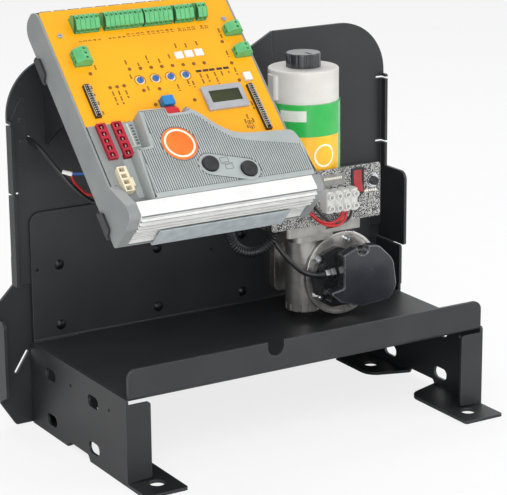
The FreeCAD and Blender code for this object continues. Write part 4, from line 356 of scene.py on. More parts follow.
EXTRAS: dict[str, Finish] = {
    # Screen-printed ink, dark brown on the yellow.
    "ink": Finish("dark_print_ink", "#5a370a", "#492c08", 0.5, depth_mm=0.002, mottle_mm=3),
    # Black ink for print, also used as painted shade in the terminal screws' slots.
    "black_ink_and_slot_shade": Finish("black_print_ink_and_slot_shade", "#1c1a17", "#262320", 0.5, depth_mm=0.002, mottle_mm=3),
    "grey_ink": Finish("grey_print_ink", "#4d5356", "#3f4548", 0.5, depth_mm=0.002, mottle_mm=3),
    "white_ink": Finish("white_print_ink", "#fdf7e6", "#f6efdb", 0.4, depth_mm=0.002, mottle_mm=3),
    # Unlit amber indicator domes in epoxy.
    "amber": Finish("amber_epoxy", "#8a560c", "#6f4409", 0.4, depth_mm=0.001, mottle_mm=2),
    # Tinned contact pins.
    "tin": Finish("tinned_brass", "#d9d6cc", "#b9b5a9", 0.25, 1.0, depth_mm=0.004, mottle_mm=2),
    # Painted light: the ribs get a lighter grey as a painted highlight, and the grooves between them a darker grey
    # as painted shade.
    "rib_grey": Finish("abs_rib_painted_highlight", "#c3c9c8", "#b9bfbe", 0.4, depth_mm=0.004, mottle_mm=45),
    "groove_grey": Finish("abs_groove_painted_shade", "#5d6362", "#545a59", 0.6, depth_mm=0.004, mottle_mm=45),
    # Painted shade: darker, duller aluminium for strips between the heatsink's rails, standing in for the grooves'
    # shadows.
    "shaded_aluminium": Finish("aluminium_groove_painted_shade", "#82878a", "#73787b", 0.5, 0.3, texture=Texture.DRAWN,
                               grain_mm=0.5, depth_mm=0.01, mottle_mm=16),
    # Painted shade: darker green lines stand in for the shade in the gaps between the poles of a terminal.
    "parting": Finish("shaded_green_polyamide", "#2f6b42", "#285e3a", 0.6, depth_mm=0.003, mottle_mm=5),
    # Chromed ring round the circuit breaker.
    "chrome": Finish("chromed_brass", "#dfe2e6", "#cfd2d6", 0.08, 1.0, texture=Texture.SMOOTH,
                     depth_mm=0.001, mottle_mm=5),
    # Printed labels on the motor.
    "label_white": Finish("white_vinyl_patch", "#dfe6dc", "#d4dccf", 0.28, depth_mm=0.003, coat=0.2),
    "label_yellow": Finish("yellow_vinyl_patch", "#fcc41e", "#f8b41b", 0.25, depth_mm=0.003, mottle_mm=22,
                           coat=0.3),
    "label_pale_green": Finish("pale_green_vinyl_seam", "#7cc98d", "#6bbd7f", 0.25, depth_mm=0.003, coat=0.3),
    "label_grey": Finish("grey_lacquer_panel", "#8e8f8c", "#7c7d7a", 0.45, depth_mm=0.02, mottle_mm=6),
    "wire_blue": Finish("blue_pvc_wire", "#2460ad", "#1b4f96", 0.35, depth_mm=0.005, mottle_mm=9),
    "wire_black": Finish("black_pvc_wire", "#1a1a1c", "#232326", 0.38, depth_mm=0.005, mottle_mm=9),
    "crimp_white": Finish("white_nylon_crimp", "#eeeeea", "#e0e0da", 0.35, depth_mm=0.005, mottle_mm=5),
}


class Palette:
    """Builds each finish once and hands it out by name."""

    # The carrier's hooks are powder coated like the frame.
    OWN_FINISH = {"control_carrier": "frame_steel"}

    def __init__(self) -> None:
        """Starts with nothing built."""
        self.built: dict[str, bpy.types.Material] = {}

    def get(self, name: str) -> bpy.types.Material:
        """The material of a slot or an extra finish.

        Args:
            name: its key in FINISHES or EXTRAS.
        Returns:
            the material.
        """
        if name not in self.built:
            self.built[name] = (FINISHES.get(name) or EXTRAS[name]).material()
        return self.built[name]

    def dress_cad(self) -> None:
        """Gives every CAD node the finish of its slot, through its material slots."""
        for row in frame["record"]["subparts"]:
            target = frame["nodes"][row["node"]]
            material = self.get(self.OWN_FINISH.get(row["node"], row["material_slot"]))
            if not target.material_slots:
                target.data.materials.append(material)
            for slot in target.material_slots:
                slot.material = material


# ---------------------------------------------------------------- shapes worked out with numpy
@dataclass(frozen=True)
class Place:
    """A local frame in millimetres: an origin and three axes."""

    origin: tuple[float, float, float] = (0.0, 0.0, 0.0)
    across: tuple[float, float, float] = (1.0, 0.0, 0.0)
    along: tuple[float, float, float] = (0.0, 1.0, 0.0)
    out: tuple[float, float, float] = (0.0, 0.0, 1.0)

    def put(self, points: Points) -> Points:
        """Local points to model millimetres: the origin plus each coordinate times its axis."""
        return np.asarray(self.origin) + np.asarray(points) @ np.array([self.across, self.along, self.out])


HALF = math.sqrt(0.5)
WORLD = Place()
# The control unit leans 45 degrees. Its coordinates are s to the right, t down the slope, n out of the face.
FACE = Place((-199.0, 90.0, 417.9), (1.0, 0.0, 0.0), (0.0, -HALF, -HALF), (0.0, -HALF, HALF))


@dataclass
class Shell:
    """Points and faces gathered before they become one piece."""

    points: list[Points] = field(default_factory=list)
    faces: Faces = field(default_factory=list)
    count: int = 0

    def add(self, points: Points, faces: list) -> "Shell":
        """Appends a closed shape; its face numbers start at 0.

        Args:
            points: its points in millimetres.
            faces: its faces.
        Returns:
            this shell, so calls can follow each other.
        """
        self.points.append(np.asarray(points, float).reshape(-1, 3))
        self.faces += [tuple(int(v) + self.count for v in face) for face in faces]
        self.count += len(self.points[-1])
        return self

    def boxes(self, centres: list, sizes: list) -> "Shell":
        """Boxes: each corner is the centre plus or minus half of the size.

        Args:
            centres: one (x, y, z) each.
            sizes: one (x, y, z) each, or one for all.
        Returns:
            this shell.
        """
        centres = np.asarray(centres, float).reshape(-1, 1, 3)
        sizes = np.broadcast_to(np.asarray(sizes, float).reshape(-1, 1, 3), centres.shape)
        signs = np.array([(x, y, z) for z in (-1, 1) for y in (-1, 1) for x in (-1, 1)], float)
        base = np.array([(0, 2, 3, 1), (4, 5, 7, 6), (0, 1, 5, 4), (2, 6, 7, 3), (0, 4, 6, 2), (1, 3, 7, 5)])
        faces = (base[None] + 8 * np.arange(len(centres))[:, None, None]).reshape(-1, 4)
        return self.add(centres + signs[None] * sizes / 2, faces.tolist())

    def grid(self, surface: Points) -> "Shell":
        """Closed rings joined by quads, with a flat face at each end.

        Args:
            surface: ring by point by 3.
        Returns:
            this shell.
        """
        rings, sides = surface.shape[:2]
        ring, side = np.meshgrid(np.arange(rings - 1), np.arange(sides), indexing="ij")
        after = (side + 1) % sides
        quads = np.stack([ring * sides + side, ring * sides + after,
                          (ring + 1) * sides + after, (ring + 1) * sides + side], -1).reshape(-1, 4)
        ends = [list(range(sides))[::-1], list(range((rings - 1) * sides, rings * sides))]
        return self.add(surface, quads.tolist() + ends)

    def turned(self, centre: tuple, profile: list, sides: int = 24) -> "Shell":
        """A turned shape: each (radius, height) of the profile swept round the local out axis.

        Args:
            centre: local centre at height 0.
            profile: radius and height pairs from bottom to top.
            sides: steps round.
        Returns:
            this shell.
        """
        angle = np.linspace(0, 2 * np.pi, sides, endpoint=False)
        radius, height = np.array(profile, float).T
        ring = np.stack([radius[:, None] * np.cos(angle), radius[:, None] * np.sin(angle),
                         np.repeat(height[:, None], sides, 1)], -1)
        return self.grid(ring + np.asarray(centre, float))

    def washer(self, centre: tuple, inner: float, outer: float, low: float, high: float,
               start: float = 0.0, sweep: float = 360.0, sides: int = 48) -> "Shell":
        """A flat ring or arc: a rectangle of (radius, height) swept from start through sweep degrees.

        Args:
            centre: local centre.
            inner: inner radius.
            outer: outer radius.
            low: height of its underside.
            high: height of its top.
            start: first angle.
            sweep: angle covered.
            sides: steps along.
        Returns:
            this shell.
        """
        whole = sweep >= 360
        angle = np.radians(start + np.linspace(0, sweep, sides, endpoint=not whole))
        corners = np.array([(inner, low), (outer, low), (outer, high), (inner, high)])
        ring = np.stack([corners[None, :, 0] * np.cos(angle)[:, None],
                         corners[None, :, 0] * np.sin(angle)[:, None],
                         np.repeat(corners[None, :, 1], sides, 0)], -1) + np.asarray(centre, float)
        return self.loop(ring) if whole else self.grid(ring)

    def loop(self, ring: np.ndarray) -> "Shell":
        """Joins the sections of a closed ring, the last to the first, with no caps.

        Args:
            ring: points as (section, corner, xyz).
        Returns:
            this shell.
        """
        sections, corners = ring.shape[:2]
        index = np.arange(sections)[:, None]
        corner = np.arange(corners)[None]
        here, after = index * corners, (index + 1) % sections * corners
        quads = np.stack([here + corner, here + (corner + 1) % corners,
                          after + (corner + 1) % corners, after + corner], -1)
        return self.add(ring, quads.reshape(-1, 4).tolist())

    def piece(self, name: str, material: bpy.types.Material, slot: str, body: str = "frame",
              place: Place = WORLD, smooth: bool = False) -> bpy.types.Object:
        """Makes the gathered shapes one object that rides on a body.

        Args:
            name: piece name.
            material: its finish.
            slot: the record's material slot; not used.
            body: the CAD body it moves with.
            place: local frame of the points.
            smooth: whether faces shade smoothly below 35 degrees.
        Returns:
            the object.
        """
        mesh = bpy.data.meshes.new(name)
        points = place.put(np.concatenate(self.points)) * MM
        mesh.from_pydata(points.tolist(), [], self.faces)
        return finish_piece(mesh, name, material, body, smooth)


def finish_piece(mesh: bpy.types.Mesh, name: str, material: bpy.types.Material, body: str,
                 smooth: bool) -> bpy.types.Object:
    """Turns a mesh's faces outward and makes it a piece.

    Args:
        mesh: mesh in model metres.
        name: piece name.
        material: its finish.
        body: the CAD body it moves with.
        smooth: whether faces shade smoothly below 35 degrees.
    Returns:
        the object.
    """
    work = bmesh.new()
    work.from_mesh(mesh)
    bmesh.ops.remove_doubles(work, verts=work.verts, dist=1e-7)
    bmesh.ops.recalc_face_normals(work, faces=work.faces)
    work.to_mesh(mesh)
    work.free()
    if smooth:
        mesh.polygons.foreach_set("use_smooth", np.ones(len(mesh.polygons), bool))
        mesh.set_sharp_from_angle(angle=math.radians(35))
    mesh.materials.append(material)
    made = bpy.data.objects.new(name, mesh)
    bpy.context.scene.collection.objects.link(made)
    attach(made, body)
    LOG.info("piece %s on %s: %d faces", name, body, len(mesh.polygons))
    return made


def flat_mesh(loops: list[list[tuple[float, float]]], low: float, high: float, chamfer: float = 0.0,
              place: Place = WORLD) -> bpy.types.Mesh:
    """A plate with holes: loops filled as a flat curve, given thickness, then put in place.

    Args:
        loops: the outline, then each hole, as (across, along) points.
        low: height of the underside.
        high: height of the top.
        chamfer: chamfer of both edges, inside the outline.
        place: local frame.
    Returns:
        the mesh in model metres.
    """
    curve = bpy.data.curves.new("outline", "CURVE")
    curve.dimensions = "2D"
    curve.fill_mode = "BOTH"
    curve.bevel_resolution = 1 if chamfer else 0
    curve.bevel_depth = chamfer
    curve.offset = -chamfer
    curve.extrude = (high - low) / 2 - chamfer
    for loop in loops:
        spline = curve.splines.new("POLY")
        spline.points.add(len(loop) - 1)
        flat = np.concatenate([np.asarray(loop, float), np.zeros((len(loop), 1)), np.ones((len(loop), 1))], 1)
        spline.points.foreach_set("co", flat.ravel())
        spline.use_cyclic_u = True
    return settled_mesh(curve, (low + high) / 2, place)


def settled_mesh(curve: bpy.types.Curve, height: float, place: Place) -> bpy.types.Mesh:
    """A curve's or text's mesh, lifted to a height and put in its local frame.

    Args:
        curve: the curve or text data.
        height: how far out it sits.
        place: local frame.
    Returns:
        the mesh in model metres.
    """
    holder = bpy.data.objects.new("holder", curve)
    bpy.context.scene.collection.objects.link(holder)
    mesh = bpy.data.meshes.new_from_object(holder.evaluated_get(bpy.context.evaluated_depsgraph_get()))
    bpy.data.objects.remove(holder)
    points = np.zeros(len(mesh.vertices) * 3)
    mesh.vertices.foreach_get("co", points)
    points = place.put(points.reshape(-1, 3) + (0, 0, height)) * MM
    mesh.vertices.foreach_set("co", points.ravel())
    return mesh


def rounded(points: list[tuple[float, float, float]], steps: int = 5) -> list[tuple[float, float]]:
    """An outline with rounded corners: each corner becomes a quadratic curve cut back by its radius.

    Args:
        points: (across, along, radius) of each corner.
        steps: points on each corner.
    Returns:
        the outline.
    """
    corners = np.array([(x, y) for x, y, _ in points], float)
    radii = np.array([r for _, _, r in points], float)[:, None]
    before, after = np.roll(corners, 1, 0) - corners, np.roll(corners, -1, 0) - corners
    cut_b = corners + before * np.minimum(radii / np.linalg.norm(before, axis=1, keepdims=True), 0.49)
    cut_a = corners + after * np.minimum(radii / np.linalg.norm(after, axis=1, keepdims=True), 0.49)
    w = np.linspace(0, 1, steps)[None, :, None]
    curve = (1 - w) ** 2 * cut_b[:, None] + 2 * w * (1 - w) * corners[:, None] + w ** 2 * cut_a[:, None]
    return [tuple(p) for p in curve.reshape(-1, 2)]


def capsule(a: tuple[float, float], b: tuple[float, float], radius: float, steps: int = 16) -> list:
    """An outline at one distance from a line: two half circles joined.

    Args:
        a: one end of the line.
        b: the other end.
        radius: the distance.
        steps: points on each half circle.
    Returns:
        the outline.
    """
    lean = math.atan2(b[1] - a[1], b[0] - a[0])
    near = lean + np.pi / 2 + np.linspace(0, np.pi, steps)
    far = lean - np.pi / 2 + np.linspace(0, np.pi, steps)
    left = np.stack([a[0] + radius * np.cos(near), a[1] + radius * np.sin(near)], 1)
    right = np.stack([b[0] + radius * np.cos(far), b[1] + radius * np.sin(far)], 1)
    return [tuple(p) for p in np.concatenate([left, right])]


def circle(centre: tuple[float, float], radius: float, steps: int = 40) -> list[tuple[float, float]]:
    """Points at one distance from a centre."""
    angle = np.linspace(0, 2 * np.pi, steps, endpoint=False)
    return list(zip(centre[0] + radius * np.cos(angle), centre[1] + radius * np.sin(angle)))


def inside(outline: list[tuple[float, float]], points: Points) -> np.ndarray:
    """Whether each point is in an outline: an odd number of edges lie to its right.

    Args:
        outline: closed outline.
        points: points, last axis 2.
    Returns:
        one truth value a point.
    """
    start = np.asarray(outline)
    end = np.roll(start, -1, 0)
    x, y = points[..., 0, None], points[..., 1, None]
    spans = (start[:, 1] > y) != (end[:, 1] > y)
    rise = np.where(end[:, 1] == start[:, 1], 1e-9, end[:, 1] - start[:, 1])
    cross = start[:, 0] + (y - start[:, 1]) * (end[:, 0] - start[:, 0]) / rise
    return (spans & (x < cross)).sum(-1) % 2 == 1


def smooth_path(points: list[tuple[float, float, float]], steps: int = 10) -> Points:
    """The NURBS line of order 3 along a route, read back as points.

    Args:
        points: control points in millimetres.
        steps: points for each span.
    Returns:
        the line's points in millimetres.
    """
    curve = bpy.data.curves.new("route", "CURVE")
    curve.dimensions = "3D"
    curve.resolution_u = steps
    spline = curve.splines.new("NURBS")
    spline.points.add(len(points) - 1)
    flat = np.concatenate([np.asarray(points, float), np.ones((len(points), 1))], 1)
    spline.points.foreach_set("co", flat.ravel())
    spline.order_u = 3
    spline.use_endpoint_u = True
    mesh = settled_mesh(curve, 0.0, WORLD)
    line = np.zeros(len(mesh.vertices) * 3)
    mesh.vertices.foreach_get("co", line)
    return line.reshape(-1, 3) / MM


def sweep(line: Points, radii: np.ndarray | float, sides: int = 14) -> Points:
    """A tube: a circle at each point, square to the line there.

    Args:
        line: points of the line.
        radii: one radius for all or one a point.
        sides: points round.
    Returns:
        ring by side by 3 points.
    """
    run = np.gradient(line, axis=0)
    run /= np.linalg.norm(run, axis=1, keepdims=True)
    spread = np.ptp(line, axis=0)
    guide = np.eye(3)[int(np.argmin(spread))]
    first = np.cross(run, guide)
    first /= np.linalg.norm(first, axis=1, keepdims=True)
    second = np.cross(run, first)
    angle = np.linspace(0, 2 * np.pi, sides, endpoint=False)
    size = np.broadcast_to(np.asarray(radii, float), (len(line),))[:, None, None]
    across, over = np.cos(angle)[None, :, None], np.sin(angle)[None, :, None]
    return line[:, None] + size * (across * first[:, None] + over * second[:, None])


# ---------------------------------------------------------------- the control unit's face
@dataclass
class TerminalRow:
    """The row of pluggable terminals along the top: where each block starts and its poles."""

    row_starts: tuple[float, ...] = (28.0, 59.0, 101.0, 134.5, 159.0)
    row_poles: tuple[int, ...] = (5, 8, 6, 4, 2)
    pole: float = 5.08

    def pole_centres(self) -> list[float]:
        """The middle of every pole: each block's start plus a whole number and a half of poles."""
        return [start + self.pole * (i + 0.5)
                for start, poles in zip(self.row_starts, self.row_poles) for i in range(poles)]


@dataclass
class FacePrint(TerminalRow):
    """Printed marks on the yellow faceplate: pole numbers, tick rows and bars, all generic."""

    trimmers: tuple[float, ...] = (73.7, 90.0, 106.2, 122.3)
    trimmer_t: float = 88.3
    switches: tuple[float, ...] = (137.6, 145.0, 151.8, 160.1, 167.6)
    tick_step: float = 1.3
    number_t: float = 39.0
    number_size: float = 4.8
    ink: float = 0.12
    tick_rows: tuple[tuple[float, float, float], ...] = (
        (41.4, 97, 112), (47.6, 97, 112), (55.0, 97.5, 106.5), (67.0, 64.6, 69.6), (90.0, 62, 70.5),
        (79.0, 69.0, 72.6), (66.0, 81, 87), (78.4, 96, 102), (125.2, 52.3, 58.7), (136.0, 53.4, 58.5),
        (148.2, 52.2, 58.7), (113.8, 63.5, 68.5), (101.8, 67, 71.2), (137.8, 89.2, 101.9),
        (144.6, 90.9, 99.3), (153.3, 89.3, 103.2), (160.8, 89.5, 94.3), (168.6, 90.4, 92.7),
        (176.6, 87.2, 95.8), (109.6, 98.1, 105.1), (121.8, 94.3, 101.7), (126.7, 96.2, 103.2),
        (178.0, 127.1, 135.2), (162.8, 145.8, 155.5), (167.0, 140.8, 157.5), (171.3, 145.6, 151.9),
        (178.0, 40.6, 51.4), (176.0, 67.1, 74.5), (34.5, 66.4, 71.8), (22.5, 88, 91), (22.5, 97, 99),
        (23.0, 106, 109), (23.5, 117, 120))

    def numbers(self) -> bpy.types.Mesh:
        """Plain numbers 1 to 25, one under each pole, turned to read up the slope.

        Returns:
            one mesh with all the numbers.
        """
        joined = bmesh.new()
        for value, s in enumerate(self.pole_centres(), 1):
            text = bpy.data.curves.new("number", "FONT")
            text.body = str(value)
            text.size = self.number_size
            text.align_x, text.align_y = "LEFT", "CENTER"
            text.extrude = self.ink / 2
            text.resolution_u = 2
            spot = FACE.put((s, self.number_t, 0.0))
            turned = Place(tuple(spot), (0.0, HALF, HALF), (-1.0, 0.0, 0.0), FACE.out)
            joined.from_mesh(settled_mesh(text, self.ink / 2, turned))
        made = bpy.data.meshes.new("pole_numbers")
        joined.to_mesh(made)
        joined.free()
        return made

    def ticks(self) -> Shell:
        """Rows of short ticks, one step apart with every fifth left out, in place of captions.

        Returns:
            the ticks.
        """
        shell = Shell()
        for s, t0, t1 in self.tick_rows:
            steps = np.arange(t0, t1, self.tick_step)
            steps = steps[np.arange(len(steps)) % 5 != 4]
            centres = np.stack([np.full(len(steps), s), steps, np.full(len(steps), self.ink / 2)], 1)
            shell.boxes(centres, (1.7, 0.9, self.ink))
        return shell

    def build(self, palette: Palette) -> None:
        """Builds the numbers, the ticks, the trimmer scales and the black switch bars.

        Args:
            palette: the finishes.
        """
        finish_piece(self.numbers(), "pole_numbers", palette.get("ink"), "frame", False)
        ticks = self.ticks()
        rims = Shell()
        for i, s in enumerate(self.trimmers):
            ticks.washer((s, self.trimmer_t, 0), 5.3, 5.8, 0, self.ink, 130 + 12 * i, 280, 30)
            rims.washer((s, self.trimmer_t, 0), 3.4, 4.3, 0, self.ink, sides=28)
        rims.piece("trimmer_rims", palette.get("white_ink"), "face_yellow", place=FACE)
        ticks.piece("caption_ticks", palette.get("ink"), "face_yellow", place=FACE)
        bars = Shell().boxes([(s, 85.9, 0.2) for s in self.switches], (5.8, 2.4, 0.4))
        bars.boxes([(s, 151.6, 0.08) for s in (165.0, 169.2)], (0.5, 9.0, 0.16))
        bars.piece("slide_switch_bars", palette.get("black_ink_and_slot_shade"), "strip_dark", place=FACE)


@dataclass
class FaceHardware(TerminalRow):
    """Terminal screws, contact pins and indicator domes on the control unit."""

    screw_t: float = 18.5
    screw_r: float = 1.4
    screw_top: float = 9.6
    slot_half: float = 1.1
    slot_thin: float = 0.22
    parting_thin: float = 0.22
    parting_side: tuple[tuple[float, float], ...] = (
        (15.5, 10.0), (15.5, 11.08), (21.6, 11.08), (28.55, 6.55), (28.55, 0.1), (27.0, 0.1))
    rail_spots: tuple[tuple[float, float], ...] = ((242.6, 12.4), (243.3, 6.6), (243.3, 1.4), (243.3, -3.4))
    groove_spots: tuple[tuple[float, float], ...] = (
        (240.2, 15.3), (242.2, 9.6), (242.6, 4.0), (242.6, -1.0), (242.2, -5.8))
    sink_s: float = 102.0
    header_pitch: float = 2.54

    def screw_places(self) -> Points:
        """The centre of each screw well, along the row and at both sides.

        Returns:
            (s, t) of each screw.
        """
        rows = [(s, self.screw_t) for s in self.pole_centres()]
        left = [(25.0, 50.0 + self.pole * (i + 0.5)) for i in range(3)]
        right = [(193.0, t + self.pole * (i + 0.5)) for t in (39.5, 65.5) for i in range(2)]
        return np.array(rows + left + right)

    def build(self, palette: Palette) -> None:
        """Builds screws with slots, header pins, socket contacts and amber domes.

        Args:
            palette: the finishes.
        """
        screws, slots = Shell(), Shell()
        turns = np.radians(np.random.default_rng(7).uniform(0, 180, 64))
        for (s, t), turn in zip(self.screw_places(), turns):
            screws.turned((s, t, 0), [(self.screw_r, 8.1), (self.screw_r, 9.3), (1.15, self.screw_top)], 14)
            run = np.array([math.cos(turn), math.sin(turn)])
            side = np.array([-math.sin(turn), math.cos(turn)])
            corners = [(s, t) + run * a * self.slot_half + side * b * self.slot_thin
                       for a, b in ((-1, -1), (1, -1), (1, 1), (-1, 1))]
            # Painted shade: a thin black bar over each screw head stands in for the shade in its slot.
            ring = np.array([[(x, y, n) for x, y in corners] for n in (9.4, self.screw_top + 0.05)])
            slots.grid(ring)
        screws.piece("terminal_screws", palette.get("zinc_screws"), "zinc_screws", place=FACE, smooth=True)
        slots.piece("terminal_screw_slot_shade", palette.get("black_ink_and_slot_shade"), "black_plastic", place=FACE)
        self.partings(palette)
        self.fins(palette)
        self.pins(palette)
        self.domes(palette)

    def partings(self, palette: Palette) -> None:
        """Fine lines of painted shade in the gaps between the poles, over each block's top and wire face.

        Args:
            palette: the finishes.
        """
        lines = Shell()
        for start, poles in zip(self.row_starts, self.row_poles):
            for i in range(poles + 1):
                s = start + self.pole * i + (0.2 if i == 0 else -0.2 if i == poles else 0.0)
                ring = np.array([[(x, t, n) for t, n in self.parting_side]
                                 for x in (s - self.parting_thin, s + self.parting_thin)])
                lines.grid(ring)
        lines.piece("terminal_partings", palette.get("parting"), "terminal_green", place=FACE)

    def fins(self, palette: Palette) -> None:
        """Long rails on the heatsink's nose, and strips of painted shade in the grooves between them, each a small
        box with its length across the unit.

        Args:
            palette: the finishes.
        """
        rails = Shell().boxes([(self.sink_s, t, n) for t, n in self.rail_spots], (184.0, 2.2, 1.6))
        rails.piece("heatsink_rails", palette.get("bare_aluminium"), "bare_aluminium", place=FACE)
        # Painted shade: dark strips between the rails stand in for the grooves' shadows.
        grooves = Shell().boxes([(self.sink_s, t, n) for t, n in self.groove_spots], (184.4, 1.2, 0.9))
        grooves.piece("heatsink_groove_painted_shade", palette.get("shaded_aluminium"), "bare_aluminium", place=FACE)

    def pins(self, palette: Palette) -> None:
        """Tinned pins: two rows at the header pitch in the strips, one in each socket way.

        Args:
            palette: the finishes.
        """
        pins = Shell()
        for s, t, width, length in ((17.0, 105.0, 6.0, 36.0), (183.5, 134.0, 6.0, 52.0)):
            steps = np.arange(t - length / 2 + 2.4, t + length / 2 - 2.0, self.header_pitch)
            for offset in (-1.1, 1.1):
                centres = np.stack([np.full(len(steps), s + offset), steps, np.full(len(steps), 1.9)], 1)
                pins.boxes(centres, (1.2, 1.2, 3.6))
            pins.boxes([(s - 2.6, t, 3.05), (s + 2.6, t, 3.05)], (0.8, length - 1.0, 0.4))
        ways = 150.0 + 7.6 * (np.arange(5) - 2)
        for s in (14.5, 30.5):
            pins.boxes(np.stack([np.full(5, s), ways, np.full(5, 0.6)], 1), (1.1, 2.6, 3.6))
        cream = 193.5 + 6.6 * (np.arange(4) - 1.5)
        pins.boxes(np.stack([np.full(4, 15.5), cream, np.full(4, 2.0)], 1), (1.4, 1.4, 4.4))
        pins.piece("contact_pins", palette.get("tin"), "zinc_screws", place=FACE)

    def domes(self, palette: Palette) -> None:
        """Low amber domes over the round indicators: a quarter circle turned round.

        Args:
            palette: the finishes.
        """
        spots = [(67.9 + 11.33 * i, 74.6 + 0.4 * i) for i in range(8)]
        spots += [(73.1, 99.7), (89.6, 100.1), (40.7, 92.3), (48.0, 92.2), (55.4, 92.0), (27.0, 74.7),
                  (176.1, 55.7), (176.0, 81.2), (176.0, 101.4), (78.7, 116.7), (120.5, 117.0)]
        angle = np.radians(np.linspace(0, 82, 5))
        profile = [(1.8, 0.0)] + list(zip(1.8 * np.cos(angle), 0.4 + 0.75 * np.sin(angle)))
        shell = Shell()
        for s, t in spots:
            shell.turned((s, t, 0), profile, 16)
        shell.piece("indicator_domes", palette.get("amber"), "lens_white", place=FACE, smooth=True)


@dataclass
class RibbedCover:
    """The raised lower cover: stepped outline, chamfered shoulder, half-round ribs, button panel."""

    top: float = 16.5
    chamfer: float = 3.0
    pitch: float = 2.3
    rib_width: float = 1.25
    rib_height: float = 0.95
    badge_at: tuple[float, float] = (75.5, 171.5)
    badge_r: float = 17.5
    buttons: tuple[tuple[float, float], ...] = ((97.0, 197.5), (133.5, 208.5))
    panel_r: float = 11.4

    def outline(self) -> list[tuple[float, float]]:
        """The cover's foot: plug notch above, a long S to the right, and a step to the left below.

        Returns:
            the outline in (s, t).
        """
        return rounded([(49.3, 129.5, 2), (78, 130, 2), (78, 137, 1.5), (97, 137, 1.5), (97, 131.5, 2),
                        (109, 139, 9), (121, 154.5, 9), (135, 165.5, 9), (148, 168.5, 8), (198, 171.5, 6),
                        (202.1, 186, 5), (202.1, 224.3, 0.3), (28.6, 224.3, 1.5), (31.8, 169.6, 1.5),
                        (46.3, 168.6, 0.8)])

    def field_outline(self) -> list[tuple[float, float]]:
        """Where the ribs run, inside the shoulder and its plain band.

        Returns:
            the outline in (s, t).
        """
        return [(52.4, 133.4), (75.5, 133.8), (75.5, 141.2), (99.4, 141.2), (101.5, 140.5), (109, 148),
                (118.5, 161.0), (131, 172.5), (146, 178.2), (163.6, 182.2), (198.3, 189.5), (198.3, 218.6),
                (33.0, 218.6), (35.2, 173.2), (49.4, 172.2)]

    def ribs(self) -> Shell:
        """Half-round ribs along the slope, cut where the badge and the button panel are.

        Each rib is a half circle of height over its width, shrunk at both ends; a rib's spans are the
        runs of quarter-millimetre steps that lie in the field and outside both keep-outs.

        Returns:
            the ribs.
        """
        s = np.arange(32.2, 200.0, self.pitch)
        t = np.arange(131.0, 220.0, 0.25)
        spots = np.stack(np.meshgrid(s, t, indexing="ij"), -1)
        keep = inside(self.field_outline(), spots)
        keep &= np.hypot(spots[..., 0] - self.badge_at[0], spots[..., 1] - self.badge_at[1]) > self.badge_r + 0.8
        keep &= ~inside(capsule(*self.buttons, self.panel_r + 0.6), spots)
        padded = np.pad(keep, ((0, 0), (1, 1))).astype(int)
        which, first = np.nonzero(np.diff(padded, axis=1) == 1)
        _, last = np.nonzero(np.diff(padded, axis=1) == -1)
        low, high, centre = t[first], t[last - 1], s[which]
        long_enough = high - low > 2.0
        low, high, centre = low[long_enough], high[long_enough], centre[long_enough]
        stations = np.stack([low, low + 0.7, high - 0.7, high], 1)
        swell = np.array([0.25, 1.0, 1.0, 0.25])
        angle = np.linspace(0, np.pi, 6)
        shell = Shell()
        for i, at in enumerate(centre):
            across = at + self.rib_width / 2 * swell[:, None] * np.cos(angle)[None]
            out = self.top - 0.05 + self.rib_height * swell[:, None] * np.sin(angle)[None]
            shell.grid(np.stack([across, np.repeat(stations[i][:, None], 6, 1), out], -1))
        return shell

    def build(self, palette: Palette) -> None:
        """Builds the cover in place of its plain solid, then its ribs over a plate of painted shade, panel, print
        and badge ring.

        Args:
            palette: the finishes.
        """
        grey = palette.get("cover_grey")
        well = capsule(*self.buttons, 8.9)
        body = flat_mesh([self.outline(), well], -3.0, self.top, self.chamfer, FACE)
        cover = finish_piece(body, "stepped_cover", grey, "frame", True)
        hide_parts("ribbed_cover")
        holes = [circle(spot, 8.5) for spot in self.buttons]
        panel = flat_mesh([capsule(*self.buttons, self.panel_r)] + holes, 12.6, self.top + 0.55, 0.25, FACE)
        finish_piece(panel, "button_panel", grey, "frame", True)
        # Painted shade: a dark plate under the ribs stands in for the shade between them.
        field_plate = flat_mesh([self.field_outline(), circle(self.badge_at, self.badge_r + 0.4),
                                 capsule(*self.buttons, self.panel_r - 0.3)], self.top - 0.3, self.top + 0.06,
                                0.0, FACE)
        finish_piece(field_plate, "rib_field_painted_shade", palette.get("groove_grey"), "frame", False)
        self.ribs().piece("cover_ribs", palette.get("rib_grey"), "cover_grey", place=FACE, smooth=True)
        Shell().washer((*self.badge_at, 0), 13.4, 15.4, 17.28, 17.42).piece(
            "badge_ring", palette.get("white_ink"), "badge_orange", place=FACE)
        self.pictogram().piece("button_pictogram", palette.get("grey_ink"), "cover_grey", place=FACE)
        self.shelf(palette)

    def pictogram(self) -> Shell:
        """Two plain outlined frames and a line between the buttons, as thin bars.

        Returns:
            the bars.
        """
        top = self.top + 0.55
        shell = Shell()
        for s, t, width, height in ((112.4, 195.2, 8.2, 5.0), (114.8, 203.0, 7.6, 4.8)):
            bars = [(s, t - height / 2), (s, t + height / 2)]
            shell.boxes([(a, b, top) for a, b in bars], (width, 0.45, 0.16))
            shell.boxes([(s + k * width / 2, t, top) for k in (-1, 1)], (0.45, height + 0.45, 0.16))
        return shell.boxes([(113.8, 199.2, top)], (12.5, 0.45, 0.16))

